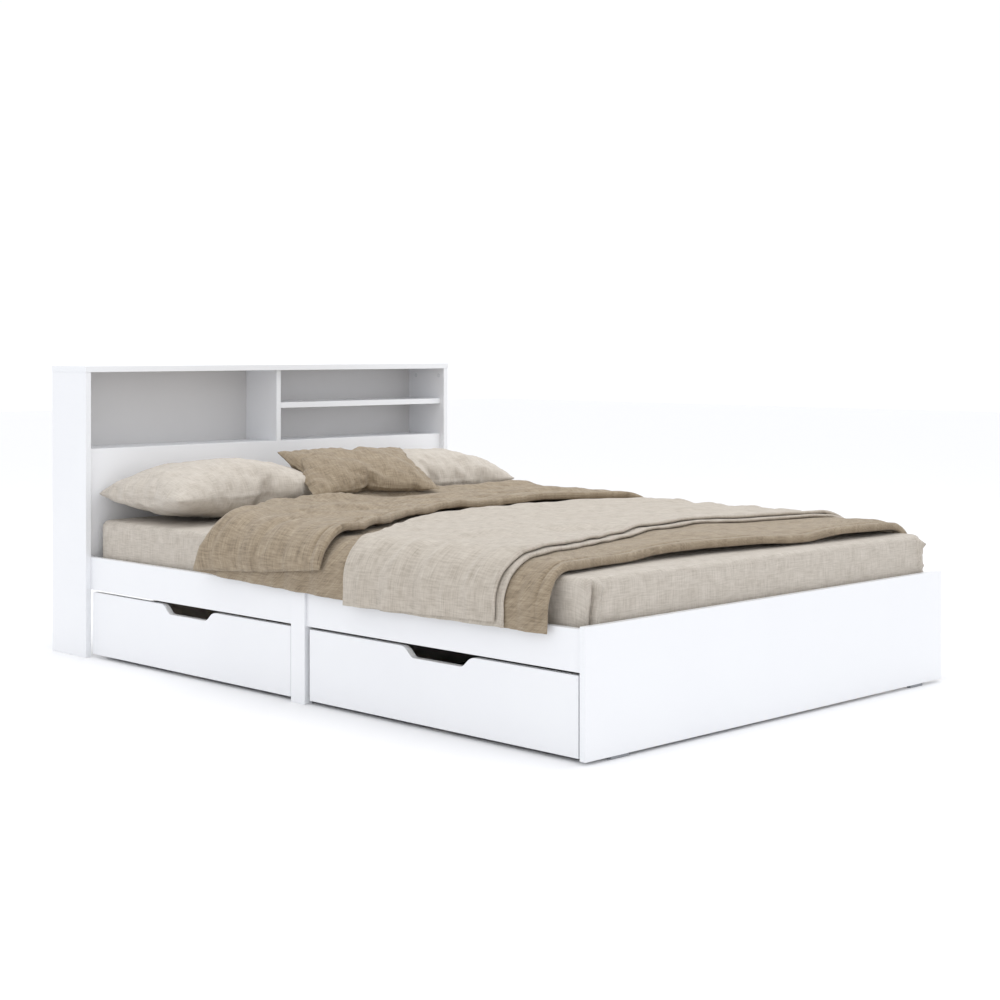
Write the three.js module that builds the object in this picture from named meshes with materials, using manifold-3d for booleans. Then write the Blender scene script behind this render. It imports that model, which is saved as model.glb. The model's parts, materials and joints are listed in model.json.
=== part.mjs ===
/**
 * Double platform bed with a bookcase headboard, a plain footboard and two drawers on castors.
 *
 * Millimetres, +Z up. The origin is on the floor under the middle of the bed. +Y runs from the foot to the
 * headboard, and +X to the right of someone standing at the foot. Both drawers roll out towards -X.
 */
import * as THREE from 'three';
import { mergeVertices } from 'three/addons/utils/BufferGeometryUtils.js';
import Module from 'manifold-3d';

const wasm = await Module();
wasm.setup();

// ---------------------------------------------------------------- driving dimensions

// Mattress, and the room left around it
const MATTRESS_WIDTH = 1400;
const MATTRESS_LENGTH = 2000;
const MATTRESS_THICKNESS = 164;
const MATTRESS_CORNER = 55;
const MATTRESS_EDGE = 22;
const MATTRESS_SIDE_ROOM = 7;
const MATTRESS_END_ROOM = 9;
const MATTRESS_SINK = 55;

// Stock
const BOARD = 18;
const DRAWER_BOARD = 15;
const SHEET = 4;
const CLEARANCE = 0.3;
const SOFT_CLEARANCE = 1;

// Side rails, posts and footboard
const RAIL_BOTTOM = 203;
const RAIL_HEIGHT = 97;
const FRAME_LIP = 8;
const POST_WIDTH = 57;
const FOOT_LIFT = 8;
const FOOT_RISE = 8;
const GLIDE_LENGTH = 60;
const GLIDE_INSET = 90;
const GLIDE_SETBACK = 4;

// Headboard
const HEAD_HEIGHT = 873;
const HEAD_DEPTH = 188;
const HEAD_SETBACK = 20;
const TOP_OVERHANG = 1.5;
const CUBBY_HEIGHT = 107;

// Slats and what carries them
const SLAT_THICKNESS = 18;
const SLAT_WIDTH = 70;
const SLAT_COUNT = 13;
const SLAT_END_ROOM = 3;
const TAPE_WIDTH = 22;
const TAPE_THICKNESS = 1.4;
const TAPE_INSET = 330;
const CLEAT_WIDTH = 30;
const BEAM_WIDTH = 44;
const BATTEN_HEIGHT = 24;

// Drawers
const DRAWER_BACK_ROOM = 63;
const DRAWER_END_GAP = 11;
const DRAWER_TOP_GAP = 7;
const DRAWER_LIFT = 11;
const DRAWER_SIDE_INSET = 20;
const DRAWER_SIDE_LIFT = 13;
const DRAWER_SIDE_DROP = 42;
const GROOVE_DEPTH = 6;
const GROOVE_ROOM = 1;
const BEARER_WIDTH = 60;
const BEARER_HEIGHT = 16;

// Hand cut-out in the top edge of each drawer front
const CUTOUT_TOP = 236;
const CUTOUT_BOTTOM = 178;
const CUTOUT_DEPTH = 26;
const CUTOUT_SHIFT = 10;
const CUTOUT_SHOULDER = 15;
const CUTOUT_CORNER = 8;

// Castors
const WHEEL_RADIUS = 18;
const WHEEL_WIDTH = 13;
const WHEEL_CHAMFER = 3;
const WHEEL_CROWN = 2;
const WHEEL_SHOULDER = 1;
const WHEEL_TOP_ROOM = 7.7;
const AXLE_RADIUS = 3;
const AXLE_ROOM = 0.4;
const CHEEK = 3;
const CHEEK_ROOM = 1;
const CHEEK_RIM = 4;
const CHEEK_SKIRT = 8;
const BRACKET_LENGTH = 46;
const CASTOR_END_INSET = 45;

// Bedding
const PILLOW_DEPTH = 410;
const PILLOW_THICKNESS = 178;
const PILLOW_SIDE_ROOM = 32;
const PILLOW_HEAD_ROOM = 8;
const PILLOW_GAP = 216;
const PILLOW_SQUARENESS = 5;
const CUSHION_WIDTH = 480;
const CUSHION_DEPTH = 310;
const CUSHION_THICKNESS = 104;
const CUSHION_TILT = 24;
const CUSHION_FORWARD = 176;
const CUSHION_SIDEWAYS = 8;
const CUSHION_CLEARANCE = 10;
const DUVET_THICKNESS = 24;
const DUVET_DROP_THICKNESS = 5.6;
const TURNBACK_THICKNESS = 28;
const THROW_THICKNESS = 15;
const THROW_DROP_THICKNESS = 3.4;
const HEM_BELOW_RAIL_TOP = 17;
const TURNBACK_HEM_ABOVE_RAIL_TOP = 7;

// How far apart the edges of the covers lie, on the drawer side (near) and on the other side (far)
const MATTRESS_FOOT_TO_DUVET = { near: 85, far: 125 };
const MATTRESS_FOOT_TO_THROW = { near: 225, far: 258 };
const PILLOWS_TO_DUVET = { near: 186, far: 21 };
const TURNBACK_WIDTH = { near: 525, far: 395 };
const TURNBACK_TO_THROW = { near: 85, far: 90 };

// How finely the round pieces are drawn
const AXLE_SEGMENTS = 20;
const WHEEL_SEGMENTS = 28;
const PILLOW_SEGMENTS = 32;
const PILLOW_RINGS = 14;
const CORNER_SEGMENTS = 6;

// ---------------------------------------------------------------- derived planes

const INNER_WIDTH = MATTRESS_WIDTH + 2 * MATTRESS_SIDE_ROOM;
const INNER_LENGTH = MATTRESS_LENGTH + 2 * MATTRESS_END_ROOM;
const RAIL_BACK = INNER_WIDTH / 2;
const RAIL_FACE = RAIL_BACK + BOARD;
const POST_FACE = RAIL_FACE + FRAME_LIP;
const HEAD_SIDE = RAIL_FACE + BOARD;
const RAIL_TOP = RAIL_BOTTOM + RAIL_HEIGHT;

const LENGTH = BOARD + INNER_LENGTH + HEAD_DEPTH - HEAD_SETBACK;
const FOOT_FACE = -LENGTH / 2;
const FOOT_BACK = FOOT_FACE + BOARD;
const APRON_FACE = FOOT_BACK + INNER_LENGTH;
const HEAD_FRONT = APRON_FACE - HEAD_SETBACK;
const HEAD_BACK = HEAD_FRONT + HEAD_DEPTH;
const POST_Y = (FOOT_BACK + HEAD_FRONT) / 2;
const HEAD_TOP_UNDER = HEAD_HEIGHT - BOARD;
const CUBBY_FLOOR = HEAD_TOP_UNDER - 2 * CUBBY_HEIGHT - BOARD;

const MATTRESS_FOOT = FOOT_BACK + MATTRESS_END_ROOM;
const MATTRESS_BASE = RAIL_TOP - MATTRESS_SINK;
const MATTRESS_TOP = MATTRESS_BASE + MATTRESS_THICKNESS;
const SLAT_BOTTOM = MATTRESS_BASE - SLAT_THICKNESS;
const BEAM_BOTTOM = SLAT_BOTTOM - BATTEN_HEIGHT;

const BAY = (HEAD_FRONT - FOOT_BACK - POST_WIDTH) / 2;
const FRONT_WIDTH = BAY - 2 * DRAWER_END_GAP;
const FRONT_TOP = RAIL_BOTTOM - DRAWER_TOP_GAP;
const SIDE_BOTTOM = DRAWER_LIFT + DRAWER_SIDE_LIFT;
const SIDE_TOP = FRONT_TOP - DRAWER_SIDE_DROP;
const DRAWER_DEPTH = RAIL_FACE - BEAM_WIDTH / 2 - DRAWER_BACK_ROOM;
const CASTOR_TOP = 2 * WHEEL_RADIUS + WHEEL_TOP_ROOM + CHEEK;
const BOTTOM_UNDER = CASTOR_TOP + CLEARANCE;

const PILLOW_WIDTH = RAIL_FACE - PILLOW_SIDE_ROOM - PILLOW_GAP / 2;
const PILLOW_Y = APRON_FACE - PILLOW_HEAD_ROOM - PILLOW_DEPTH / 2;
const PILLOW_FRONT = PILLOW_Y - PILLOW_DEPTH / 2;
const PILLOW_UNDER = MATTRESS_TOP + SOFT_CLEARANCE;

// ---------------------------------------------------------------- finishes

const FINISHES = {
  whiteBoard: { color: 0xf4f5f8, roughness: 0.42, metalness: 0 },
  innerBoard: { color: 0xeceef1, roughness: 0.5, metalness: 0 },
  birch: { color: 0xd9c39c, roughness: 0.6, metalness: 0 },
  darkSheet: { color: 0x2b2b2c, roughness: 0.7, metalness: 0 },
  greyPlastic: { color: 0x8c8f93, roughness: 0.5, metalness: 0 },
  blackPlastic: { color: 0x202122, roughness: 0.45, metalness: 0 },
  sheetLinen: { color: 0xc9c1b5, roughness: 0.9, metalness: 0 },
  pillowLinen: { color: 0xd2c9bd, roughness: 0.9, metalness: 0 },
  taupeLinen: { color: 0xa3937b, roughness: 0.9, metalness: 0 },
  throwLinen: { color: 0xd5ccc0, roughness: 0.9, metalness: 0 },
};

// ---------------------------------------------------------------- making and placing pieces

const bed = new THREE.Group();

/** Adds one named piece with a material of its own. */
function addPiece(parent, name, finish, geometry) {
  const mesh = new THREE.Mesh(geometry, new THREE.MeshStandardMaterial(FINISHES[finish]));
  mesh.name = name;
  parent.add(mesh);
  return mesh;
}

/** A rectangular piece whose corners lie exactly on three pairs of planes. */
function blockGeometry(xs, ys, zs) {
  const geometry = new THREE.BoxGeometry();
  const corners = geometry.attributes.position;
  const plane = (planes, value) => planes[Number(value > 0)];
  for (let i = 0; i < corners.count; i += 1) {
    corners.setXYZ(i, plane(xs, corners.getX(i)), plane(ys, corners.getY(i)), plane(zs, corners.getZ(i)));
  }
  return geometry;
}

function addBlock(parent, name, finish, xs, ys, zs) {
  return addPiece(parent, name, finish, blockGeometry(xs, ys, zs));
}

/** Turns a closed geometry into a solid that can be joined and cut. */
function toSolid(geometry) {
  const bare = geometry.clone();
  bare.deleteAttribute('normal');
  bare.deleteAttribute('uv');
  const merged = mergeVertices(bare);
  return new wasm.Manifold(new wasm.Mesh({
    numProp: 3,
    vertProperties: new Float32Array(merged.attributes.position.array),
    triVerts: new Uint32Array(merged.index.array),
  }));
}

function toGeometry(solid) {
  const mesh = solid.getMesh();
  const geometry = new THREE.BufferGeometry();
  geometry.setAttribute('position', new THREE.BufferAttribute(mesh.vertProperties, 3));
  geometry.setIndex(new THREE.BufferAttribute(mesh.triVerts, 1));
  geometry.computeVertexNormals();
  return geometry;
}

function join(...geometries) {
  return toGeometry(geometries.map(toSolid).reduce((whole, next) => whole.add(next)));
}

function cut(geometry, ...tools) {
  return toGeometry(tools.map(toSolid).reduce((whole, tool) => whole.subtract(tool), toSolid(geometry)));
}

/** Extrudes an outline drawn in (y, z) along x, from x0 to x1. */
function extrudeAlongX(shape, x0, x1) {
  const geometry = new THREE.ExtrudeGeometry(shape, {
    depth: x1 - x0,
    bevelEnabled: false,
    curveSegments: CORNER_SEGMENTS,
  });
  const axes = new THREE.Matrix4().makeBasis(
    new THREE.Vector3(0, 1, 0),
    new THREE.Vector3(0, 0, 1),
    new THREE.Vector3(1, 0, 0),
  );
  geometry.applyMatrix4(axes);
  geometry.translate(x0, 0, 0);
  return geometry;
}

/** Extrudes an outline drawn in (x, y) upwards, from z0 to z1. */
function extrudeUp(shape, z0, z1) {
  const geometry = new THREE.ExtrudeGeometry(shape, { depth: z1 - z0, bevelEnabled: false });
  geometry.translate(0, 0, z0);
  return geometry;
}

function polygon(points) {
  return new THREE.Shape(points.map(([x, y]) => new THREE.Vector2(x, y)));
}

/** The span between two distances from the middle of the bed, on the left (-1) or the right (1). */
function spanOnSide(sign, a, b) {
  return [sign * a, sign * b].sort((p, q) => p - q);
}

// ---------------------------------------------------------------- headboard

function buildHeadboard() {
  const backSheetFace = HEAD_BACK - SHEET;
  const half = BOARD / 2;
  const bay = [APRON_FACE, backSheetFace];
  for (const [side, sign] of [['left', -1], ['right', 1]]) {
    const sideXs = spanOnSide(sign, RAIL_FACE, HEAD_SIDE);
    const sideZs = [0, HEAD_TOP_UNDER];
    addBlock(bed, `headboard_side_${side}`, 'whiteBoard', sideXs, [HEAD_FRONT, HEAD_BACK], sideZs);
  }
  const topXs = [-HEAD_SIDE - TOP_OVERHANG, HEAD_SIDE + TOP_OVERHANG];
  const topYs = [HEAD_FRONT - TOP_OVERHANG, HEAD_BACK];
  addBlock(bed, 'headboard_top', 'whiteBoard', topXs, topYs, [HEAD_TOP_UNDER, HEAD_HEIGHT]);
  const between = [-RAIL_FACE, RAIL_FACE];
  const apronYs = [APRON_FACE, APRON_FACE + BOARD];
  addBlock(bed, 'headboard_apron', 'whiteBoard', between, apronYs, [RAIL_BOTTOM, CUBBY_FLOOR]);
  const floorYs = [APRON_FACE + BOARD, backSheetFace];
  addBlock(bed, 'headboard_floor_shelf', 'innerBoard', between, floorYs, [CUBBY_FLOOR - BOARD, CUBBY_FLOOR]);
  addBlock(bed, 'headboard_divider', 'whiteBoard', [-half, half], bay, [CUBBY_FLOOR, HEAD_TOP_UNDER]);
  const shelfUnder = CUBBY_FLOOR + CUBBY_HEIGHT;
  const shelfZs = [shelfUnder, shelfUnder + BOARD];
  addBlock(bed, 'headboard_shelf', 'whiteBoard', [half, RAIL_FACE], bay, shelfZs);
  const backYs = [backSheetFace, HEAD_BACK];
  addBlock(bed, 'headboard_back_sheet', 'innerBoard', between, backYs, [CUBBY_FLOOR - BOARD, HEAD_TOP_UNDER]);
}

// ---------------------------------------------------------------- footboard, rails and posts

function buildFrame() {
  const footZs = [FOOT_LIFT, RAIL_TOP + FOOT_RISE];
  addBlock(bed, 'footboard', 'whiteBoard', [-POST_FACE, POST_FACE], [FOOT_FACE, FOOT_BACK], footZs);
  for (const [side, sign] of [['left', -1], ['right', 1]]) {
    const railXs = spanOnSide(sign, RAIL_BACK, RAIL_FACE);
    const postXs = spanOnSide(sign, RAIL_BACK, POST_FACE);
    const postEnds = [POST_Y - POST_WIDTH / 2, POST_Y + POST_WIDTH / 2];
    const heights = [RAIL_BOTTOM, RAIL_TOP];
    addBlock(bed, `rail_${side}_foot`, 'whiteBoard', railXs, [FOOT_BACK, postEnds[0]], heights);
    addBlock(bed, `rail_${side}_head`, 'whiteBoard', railXs, [postEnds[1], APRON_FACE], heights);
    addBlock(bed, `post_${side}`, 'whiteBoard', postXs, postEnds, [0, RAIL_TOP]);
    const cleatXs = spanOnSide(sign, RAIL_BACK - CLEAT_WIDTH, RAIL_BACK);
    const battenZs = [BEAM_BOTTOM, SLAT_BOTTOM];
    addBlock(bed, `slat_cleat_${side}`, 'birch', cleatXs, [FOOT_BACK, APRON_FACE], battenZs);
    const glideXs = spanOnSide(sign, POST_FACE - GLIDE_INSET - GLIDE_LENGTH, POST_FACE - GLIDE_INSET);
    const glideYs = [FOOT_FACE + GLIDE_SETBACK, FOOT_BACK - GLIDE_SETBACK / 2];
    addBlock(bed, `foot_glide_${side}`, 'greyPlastic', glideXs, glideYs, [0, FOOT_LIFT]);
  }
}

// ---------------------------------------------------------------- slats and centre beam

function buildSlatBase() {
  const pitch = (INNER_LENGTH - SLAT_WIDTH - 2 * SLAT_END_ROOM) / (SLAT_COUNT - 1);
  const half = RAIL_BACK - SLAT_END_ROOM;
  const firstSlat = FOOT_BACK + SLAT_END_ROOM;
  const pieces = [];
  for (let i = 0; i < SLAT_COUNT; i += 1) {
    const start = firstSlat + i * pitch;
    pieces.push(blockGeometry([-half, half], [start, start + SLAT_WIDTH], [SLAT_BOTTOM, MATTRESS_BASE]));
  }
  const tapeYs = [firstSlat + SLAT_WIDTH / 4, APRON_FACE - SLAT_END_ROOM - SLAT_WIDTH / 4];
  const tapeZs = [SLAT_BOTTOM - TAPE_THICKNESS / 2, SLAT_BOTTOM + TAPE_THICKNESS / 2];
  for (const sign of [-1, 1]) {
    const centre = sign * (RAIL_BACK - TAPE_INSET);
    pieces.push(blockGeometry([centre - TAPE_WIDTH / 2, centre + TAPE_WIDTH / 2], tapeYs, tapeZs));
  }
  addPiece(bed, 'slat_roll', 'birch', join(...pieces));

  const beamXs = [-BEAM_WIDTH / 2, BEAM_WIDTH / 2];
  addBlock(bed, 'centre_beam', 'birch', beamXs, [FOOT_BACK, APRON_FACE], [BEAM_BOTTOM, SLAT_BOTTOM]);
  const panelYs = [POST_Y - BOARD / 2, POST_Y + BOARD / 2];
  addBlock(bed, 'cross_panel', 'innerBoard', [-RAIL_BACK, RAIL_BACK], panelYs, [0, BEAM_BOTTOM]);
  for (const [end, y] of [['foot', (FOOT_BACK + POST_Y) / 2], ['head', (POST_Y + APRON_FACE) / 2]]) {
    const legYs = [y - BEAM_WIDTH / 2, y + BEAM_WIDTH / 2];
    addBlock(bed, `beam_leg_${end}`, 'birch', beamXs, legYs, [0, BEAM_BOTTOM]);
  }
}

// ---------------------------------------------------------------- drawers

/** Outline of a drawer front in (y, z), centred on y = 0, with the hand cut-out in its top edge. */
function drawerFrontShape() {
  const half = FRONT_WIDTH / 2;
  const corners = [
    [-CUTOUT_SHIFT + CUTOUT_TOP / 2, FRONT_TOP, CUTOUT_SHOULDER],
    [-CUTOUT_SHIFT + CUTOUT_BOTTOM / 2, FRONT_TOP - CUTOUT_DEPTH, CUTOUT_CORNER],
    [-CUTOUT_SHIFT - CUTOUT_BOTTOM / 2, FRONT_TOP - CUTOUT_DEPTH, CUTOUT_CORNER],
    [-CUTOUT_SHIFT - CUTOUT_TOP / 2, FRONT_TOP, CUTOUT_SHOULDER],
  ];
  const towards = (from, to, distance) => {
    const share = distance / Math.hypot(to[0] - from[0], to[1] - from[1]);
    return [from[0] + (to[0] - from[0]) * share, from[1] + (to[1] - from[1]) * share];
  };
  const shape = new THREE.Shape();
  shape.moveTo(-half, DRAWER_LIFT);
  shape.lineTo(half, DRAWER_LIFT);
  shape.lineTo(half, FRONT_TOP);
  corners.forEach((corner, i) => {
    const before = i === 0 ? [half, FRONT_TOP] : corners[i - 1];
    const after = i === corners.length - 1 ? [-half, FRONT_TOP] : corners[i + 1];
    shape.lineTo(...towards(corner, before, corner[2]));
    shape.quadraticCurveTo(corner[0], corner[1], ...towards(corner, after, corner[2]));
  });
  shape.lineTo(-half, FRONT_TOP);
  shape.closePath();
  return shape;
}

/** Wheel with a rounded tread, turned about y, with a bore that clears its axle. */
function wheelGeometry() {
  const half = WHEEL_WIDTH / 2;
  const bore = AXLE_RADIUS + AXLE_ROOM;
  const crownRadius = WHEEL_RADIUS - WHEEL_CROWN;
  const shoulder = half - WHEEL_SHOULDER;
  const profile = [
    [bore, -half],
    [crownRadius - WHEEL_CHAMFER, -half],
    [crownRadius, -shoulder],
    [WHEEL_RADIUS, -shoulder + WHEEL_CROWN],
    [WHEEL_RADIUS, shoulder - WHEEL_CROWN],
    [crownRadius, shoulder],
    [crownRadius - WHEEL_CHAMFER, half],
    [bore, half],
    [bore, -half],
  ].map(([r, y]) => new THREE.Vector2(r, y));
  return new THREE.LatheGeometry(profile, WHEEL_SEGMENTS);
}

/** Moulded fork: a top plate, two cheeks and the axle between them, around the wheel's centre. */
function castorForkGeometry() {
  const top = CASTOR_TOP - WHEEL_RADIUS;
  const inner = WHEEL_WIDTH / 2 + CHEEK_ROOM;
  const outer = inner + CHEEK;
  const halfLength = BRACKET_LENGTH / 2;
  const foot = AXLE_RADIUS + CHEEK_RIM;
  const outline = polygon([
    [-halfLength, top],
    [-halfLength, top - CHEEK_SKIRT],
    [-foot, -foot],
    [foot, -foot],
    [halfLength, top - CHEEK_SKIRT],
    [halfLength, top],
  ]);
  const cheeks = [-inner, outer].map((y) => {
    const cheek = new THREE.ExtrudeGeometry(outline, { depth: CHEEK, bevelEnabled: false });
    cheek.rotateX(Math.PI / 2);
    cheek.translate(0, y, 0);
    return cheek;
  });
  const plate = blockGeometry([-halfLength, halfLength], [-outer, outer], [top - CHEEK, top]);
  const axle = new THREE.CylinderGeometry(AXLE_RADIUS, AXLE_RADIUS, inner + outer, AXLE_SEGMENTS);
  return join(plate, ...cheeks, axle);
}

/** One drawer, built around the middle of its front at floor level, with the box running towards +x. */
function buildDrawer(end, centreY) {
  const drawer = new THREE.Group();
  drawer.position.set(-RAIL_FACE, centreY, 0);
  bed.add(drawer);

  const boxHalf = FRONT_WIDTH / 2 - DRAWER_SIDE_INSET;
  const sideInner = boxHalf - DRAWER_BOARD;
  const backFace = DRAWER_DEPTH - DRAWER_BOARD;
  const sideZs = [SIDE_BOTTOM, SIDE_TOP];
  const bottomZs = [BOTTOM_UNDER, BOTTOM_UNDER + SHEET];
  const grooveZs = [BOTTOM_UNDER - CLEARANCE, BOTTOM_UNDER + SHEET + CLEARANCE];
  const lip = GROOVE_DEPTH - GROOVE_ROOM;
  const past = GROOVE_ROOM;

  const frontGrooveXs = [BOARD - GROOVE_DEPTH, BOARD + past];
  const frontGroove = blockGeometry(frontGrooveXs, [-sideInner, sideInner], grooveZs);
  const front = cut(extrudeAlongX(drawerFrontShape(), 0, BOARD), frontGroove);
  addPiece(drawer, `drawer_${end}_front`, 'whiteBoard', front);

  for (const [side, sign] of [['a', -1], ['b', 1]]) {
    const board = blockGeometry([BOARD, DRAWER_DEPTH], spanOnSide(sign, sideInner, boxHalf), sideZs);
    const grooveYs = spanOnSide(sign, sideInner - past, sideInner + GROOVE_DEPTH);
    const groove = blockGeometry([BOARD - past, DRAWER_DEPTH + past], grooveYs, grooveZs);
    addPiece(drawer, `drawer_${end}_side_${side}`, 'innerBoard', cut(board, groove));
  }

  const backGrooveYs = [-sideInner - past, sideInner + past];
  const backGroove = blockGeometry([backFace - past, backFace + GROOVE_DEPTH], backGrooveYs, grooveZs);
  const back = blockGeometry([backFace, DRAWER_DEPTH], [-sideInner, sideInner], sideZs);
  addPiece(drawer, `drawer_${end}_back`, 'innerBoard', cut(back, backGroove));

  const lengthwaysYs = [-sideInner + CLEARANCE, sideInner - CLEARANCE];
  const lengthways = blockGeometry([BOARD - lip, backFace + lip], lengthwaysYs, bottomZs);
  const sidewaysXs = [BOARD + CLEARANCE, backFace - CLEARANCE];
  const sideways = blockGeometry(sidewaysXs, [-sideInner - lip, sideInner + lip], bottomZs);
  addPiece(drawer, `drawer_${end}_bottom`, 'darkSheet', join(lengthways, sideways));

  const bearerXs = [BOARD, backFace];
  const bearerZs = [BOTTOM_UNDER - CLEARANCE - BEARER_HEIGHT, BOTTOM_UNDER - CLEARANCE];
  const bearerYs = [-BEARER_WIDTH / 2, BEARER_WIDTH / 2];
  addBlock(drawer, `drawer_${end}_bearer`, 'birch', bearerXs, bearerYs, bearerZs);

  const forkHalf = WHEEL_WIDTH / 2 + CHEEK_ROOM + CHEEK;
  const castorX = { front: BOARD + CASTOR_END_INSET, rear: backFace - CASTOR_END_INSET };
  for (const [place, x] of Object.entries(castorX)) {
    for (const [side, sign] of [['a', -1], ['b', 1]]) {
      const castor = new THREE.Group();
      castor.position.set(x, sign * (sideInner - CLEARANCE - forkHalf), WHEEL_RADIUS);
      drawer.add(castor);
      addPiece(castor, `castor_fork_${end}_${place}_${side}`, 'greyPlastic', castorForkGeometry());
      addPiece(castor, `castor_wheel_${end}_${place}_${side}`, 'blackPlastic', wheelGeometry());
    }
  }
}

// ---------------------------------------------------------------- mattress and bedding

function buildMattress() {
  const half = MATTRESS_WIDTH / 2 - MATTRESS_EDGE;
  const long = MATTRESS_LENGTH / 2 - MATTRESS_EDGE;
  const r = MATTRESS_CORNER;
  const outline = new THREE.Shape();
  outline.moveTo(half, -long + r);
  outline.lineTo(half, long - r);
  outline.absarc(half - r, long - r, r, 0, Math.PI / 2);
  outline.absarc(-half + r, long - r, r, Math.PI / 2, Math.PI);
  outline.absarc(-half + r, -long + r, r, Math.PI, 1.5 * Math.PI);
  outline.absarc(half - r, -long + r, r, 1.5 * Math.PI, 2 * Math.PI);
  const geometry = new THREE.ExtrudeGeometry(outline, {
    depth: MATTRESS_THICKNESS - 2 * MATTRESS_EDGE,
    bevelThickness: MATTRESS_EDGE,
    bevelSize: MATTRESS_EDGE,
    bevelSegments: CORNER_SEGMENTS / 2,
    curveSegments: CORNER_SEGMENTS,
  });
  geometry.translate(0, MATTRESS_FOOT + MATTRESS_LENGTH / 2, MATTRESS_BASE + MATTRESS_EDGE);
  addPiece(bed, 'mattress', 'sheetLinen', geometry);
}

/** A filled pillow: a rounded-square outline in plan, thickest in the middle. */
function pillowGeometry(width, depth, thickness) {
  const geometry = new THREE.SphereGeometry(1, PILLOW_SEGMENTS, PILLOW_RINGS);
  geometry.rotateX(Math.PI / 2);
  const points = geometry.attributes.position;
  for (let i = 0; i < points.count; i += 1) {
    const x = points.getX(i);
    const y = points.getY(i);
    const powers = Math.abs(x) ** PILLOW_SQUARENESS + Math.abs(y) ** PILLOW_SQUARENESS;
    const outline = Math.hypot(x, y) / (powers ** (1 / PILLOW_SQUARENESS) || 1);
    points.setXY(i, x * outline, y * outline);
  }
  geometry.scale(width / 2, depth / 2, thickness / 2);
  return geometry;
}

/** Height of a pillow's upper surface above the mattress, at a place off the pillow's middle. */
function pillowTopAt(x, y) {
  const powers = Math.abs((2 * x) / PILLOW_WIDTH) ** PILLOW_SQUARENESS
    + Math.abs((2 * y) / PILLOW_DEPTH) ** PILLOW_SQUARENESS;
  const reach = powers ** (1 / PILLOW_SQUARENESS);
  return reach < 1 ? (PILLOW_THICKNESS / 2) * (1 + Math.sqrt(1 - reach ** 2)) : 0;
}

/** Height of the cushion's middle above the mattress when it rests on the two pillows. */
function cushionHeight(geometry, pillowX) {
  const points = geometry.attributes.position;
  let height = 0;
  for (let i = 0; i < points.count; i += 1) {
    const x = CUSHION_SIDEWAYS + points.getX(i);
    const y = points.getY(i) - CUSHION_FORWARD;
    const under = Math.max(pillowTopAt(x - pillowX, y), pillowTopAt(x + pillowX, y));
    height = Math.max(height, under + CUSHION_CLEARANCE - points.getZ(i));
  }
  return height;
}

function buildPillows() {
  const x = RAIL_FACE - PILLOW_SIDE_ROOM - PILLOW_WIDTH / 2;
  for (const [side, sign] of [['left', -1], ['right', 1]]) {
    const geometry = pillowGeometry(PILLOW_WIDTH, PILLOW_DEPTH, PILLOW_THICKNESS);
    const pillow = addPiece(bed, `pillow_${side}`, 'pillowLinen', geometry);
    pillow.position.set(sign * x, PILLOW_Y, PILLOW_UNDER + PILLOW_THICKNESS / 2);
  }
  const geometry = pillowGeometry(CUSHION_WIDTH, CUSHION_DEPTH, CUSHION_THICKNESS);
  geometry.rotateX(THREE.MathUtils.degToRad(CUSHION_TILT));
  const cushion = addPiece(bed, 'cushion', 'taupeLinen', geometry);
  const height = cushionHeight(geometry, x);
  cushion.position.set(CUSHION_SIDEWAYS, PILLOW_Y - CUSHION_FORWARD, PILLOW_UNDER + height);
}

/** A cover's edge across the bed, nearer the foot than another edge by a gap on each side. */
function edgeBefore(edge, gap) {
  return { near: edge.near - gap.near, far: edge.far - gap.far };
}

/** A plan outline between two edges, each of which may lie askew across the bed. */
function spreadOutline(half, foot, head) {
  return polygon([
    [-half, foot.near],
    [half, foot.far],
    [half, head.far],
    [-half, head.near],
  ]);
}

/** The two hanging sides of a cover, from top down to the hem, between inner and outer. */
function dropGeometries(inner, outer, foot, head, hem, top) {
  const side = (end) => polygon([
    [foot[end], hem],
    [head[end], hem],
    [head[end], top],
    [foot[end], top],
  ]);
  return [extrudeAlongX(side('near'), -outer, -inner), extrudeAlongX(side('far'), inner, outer)];
}

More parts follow.
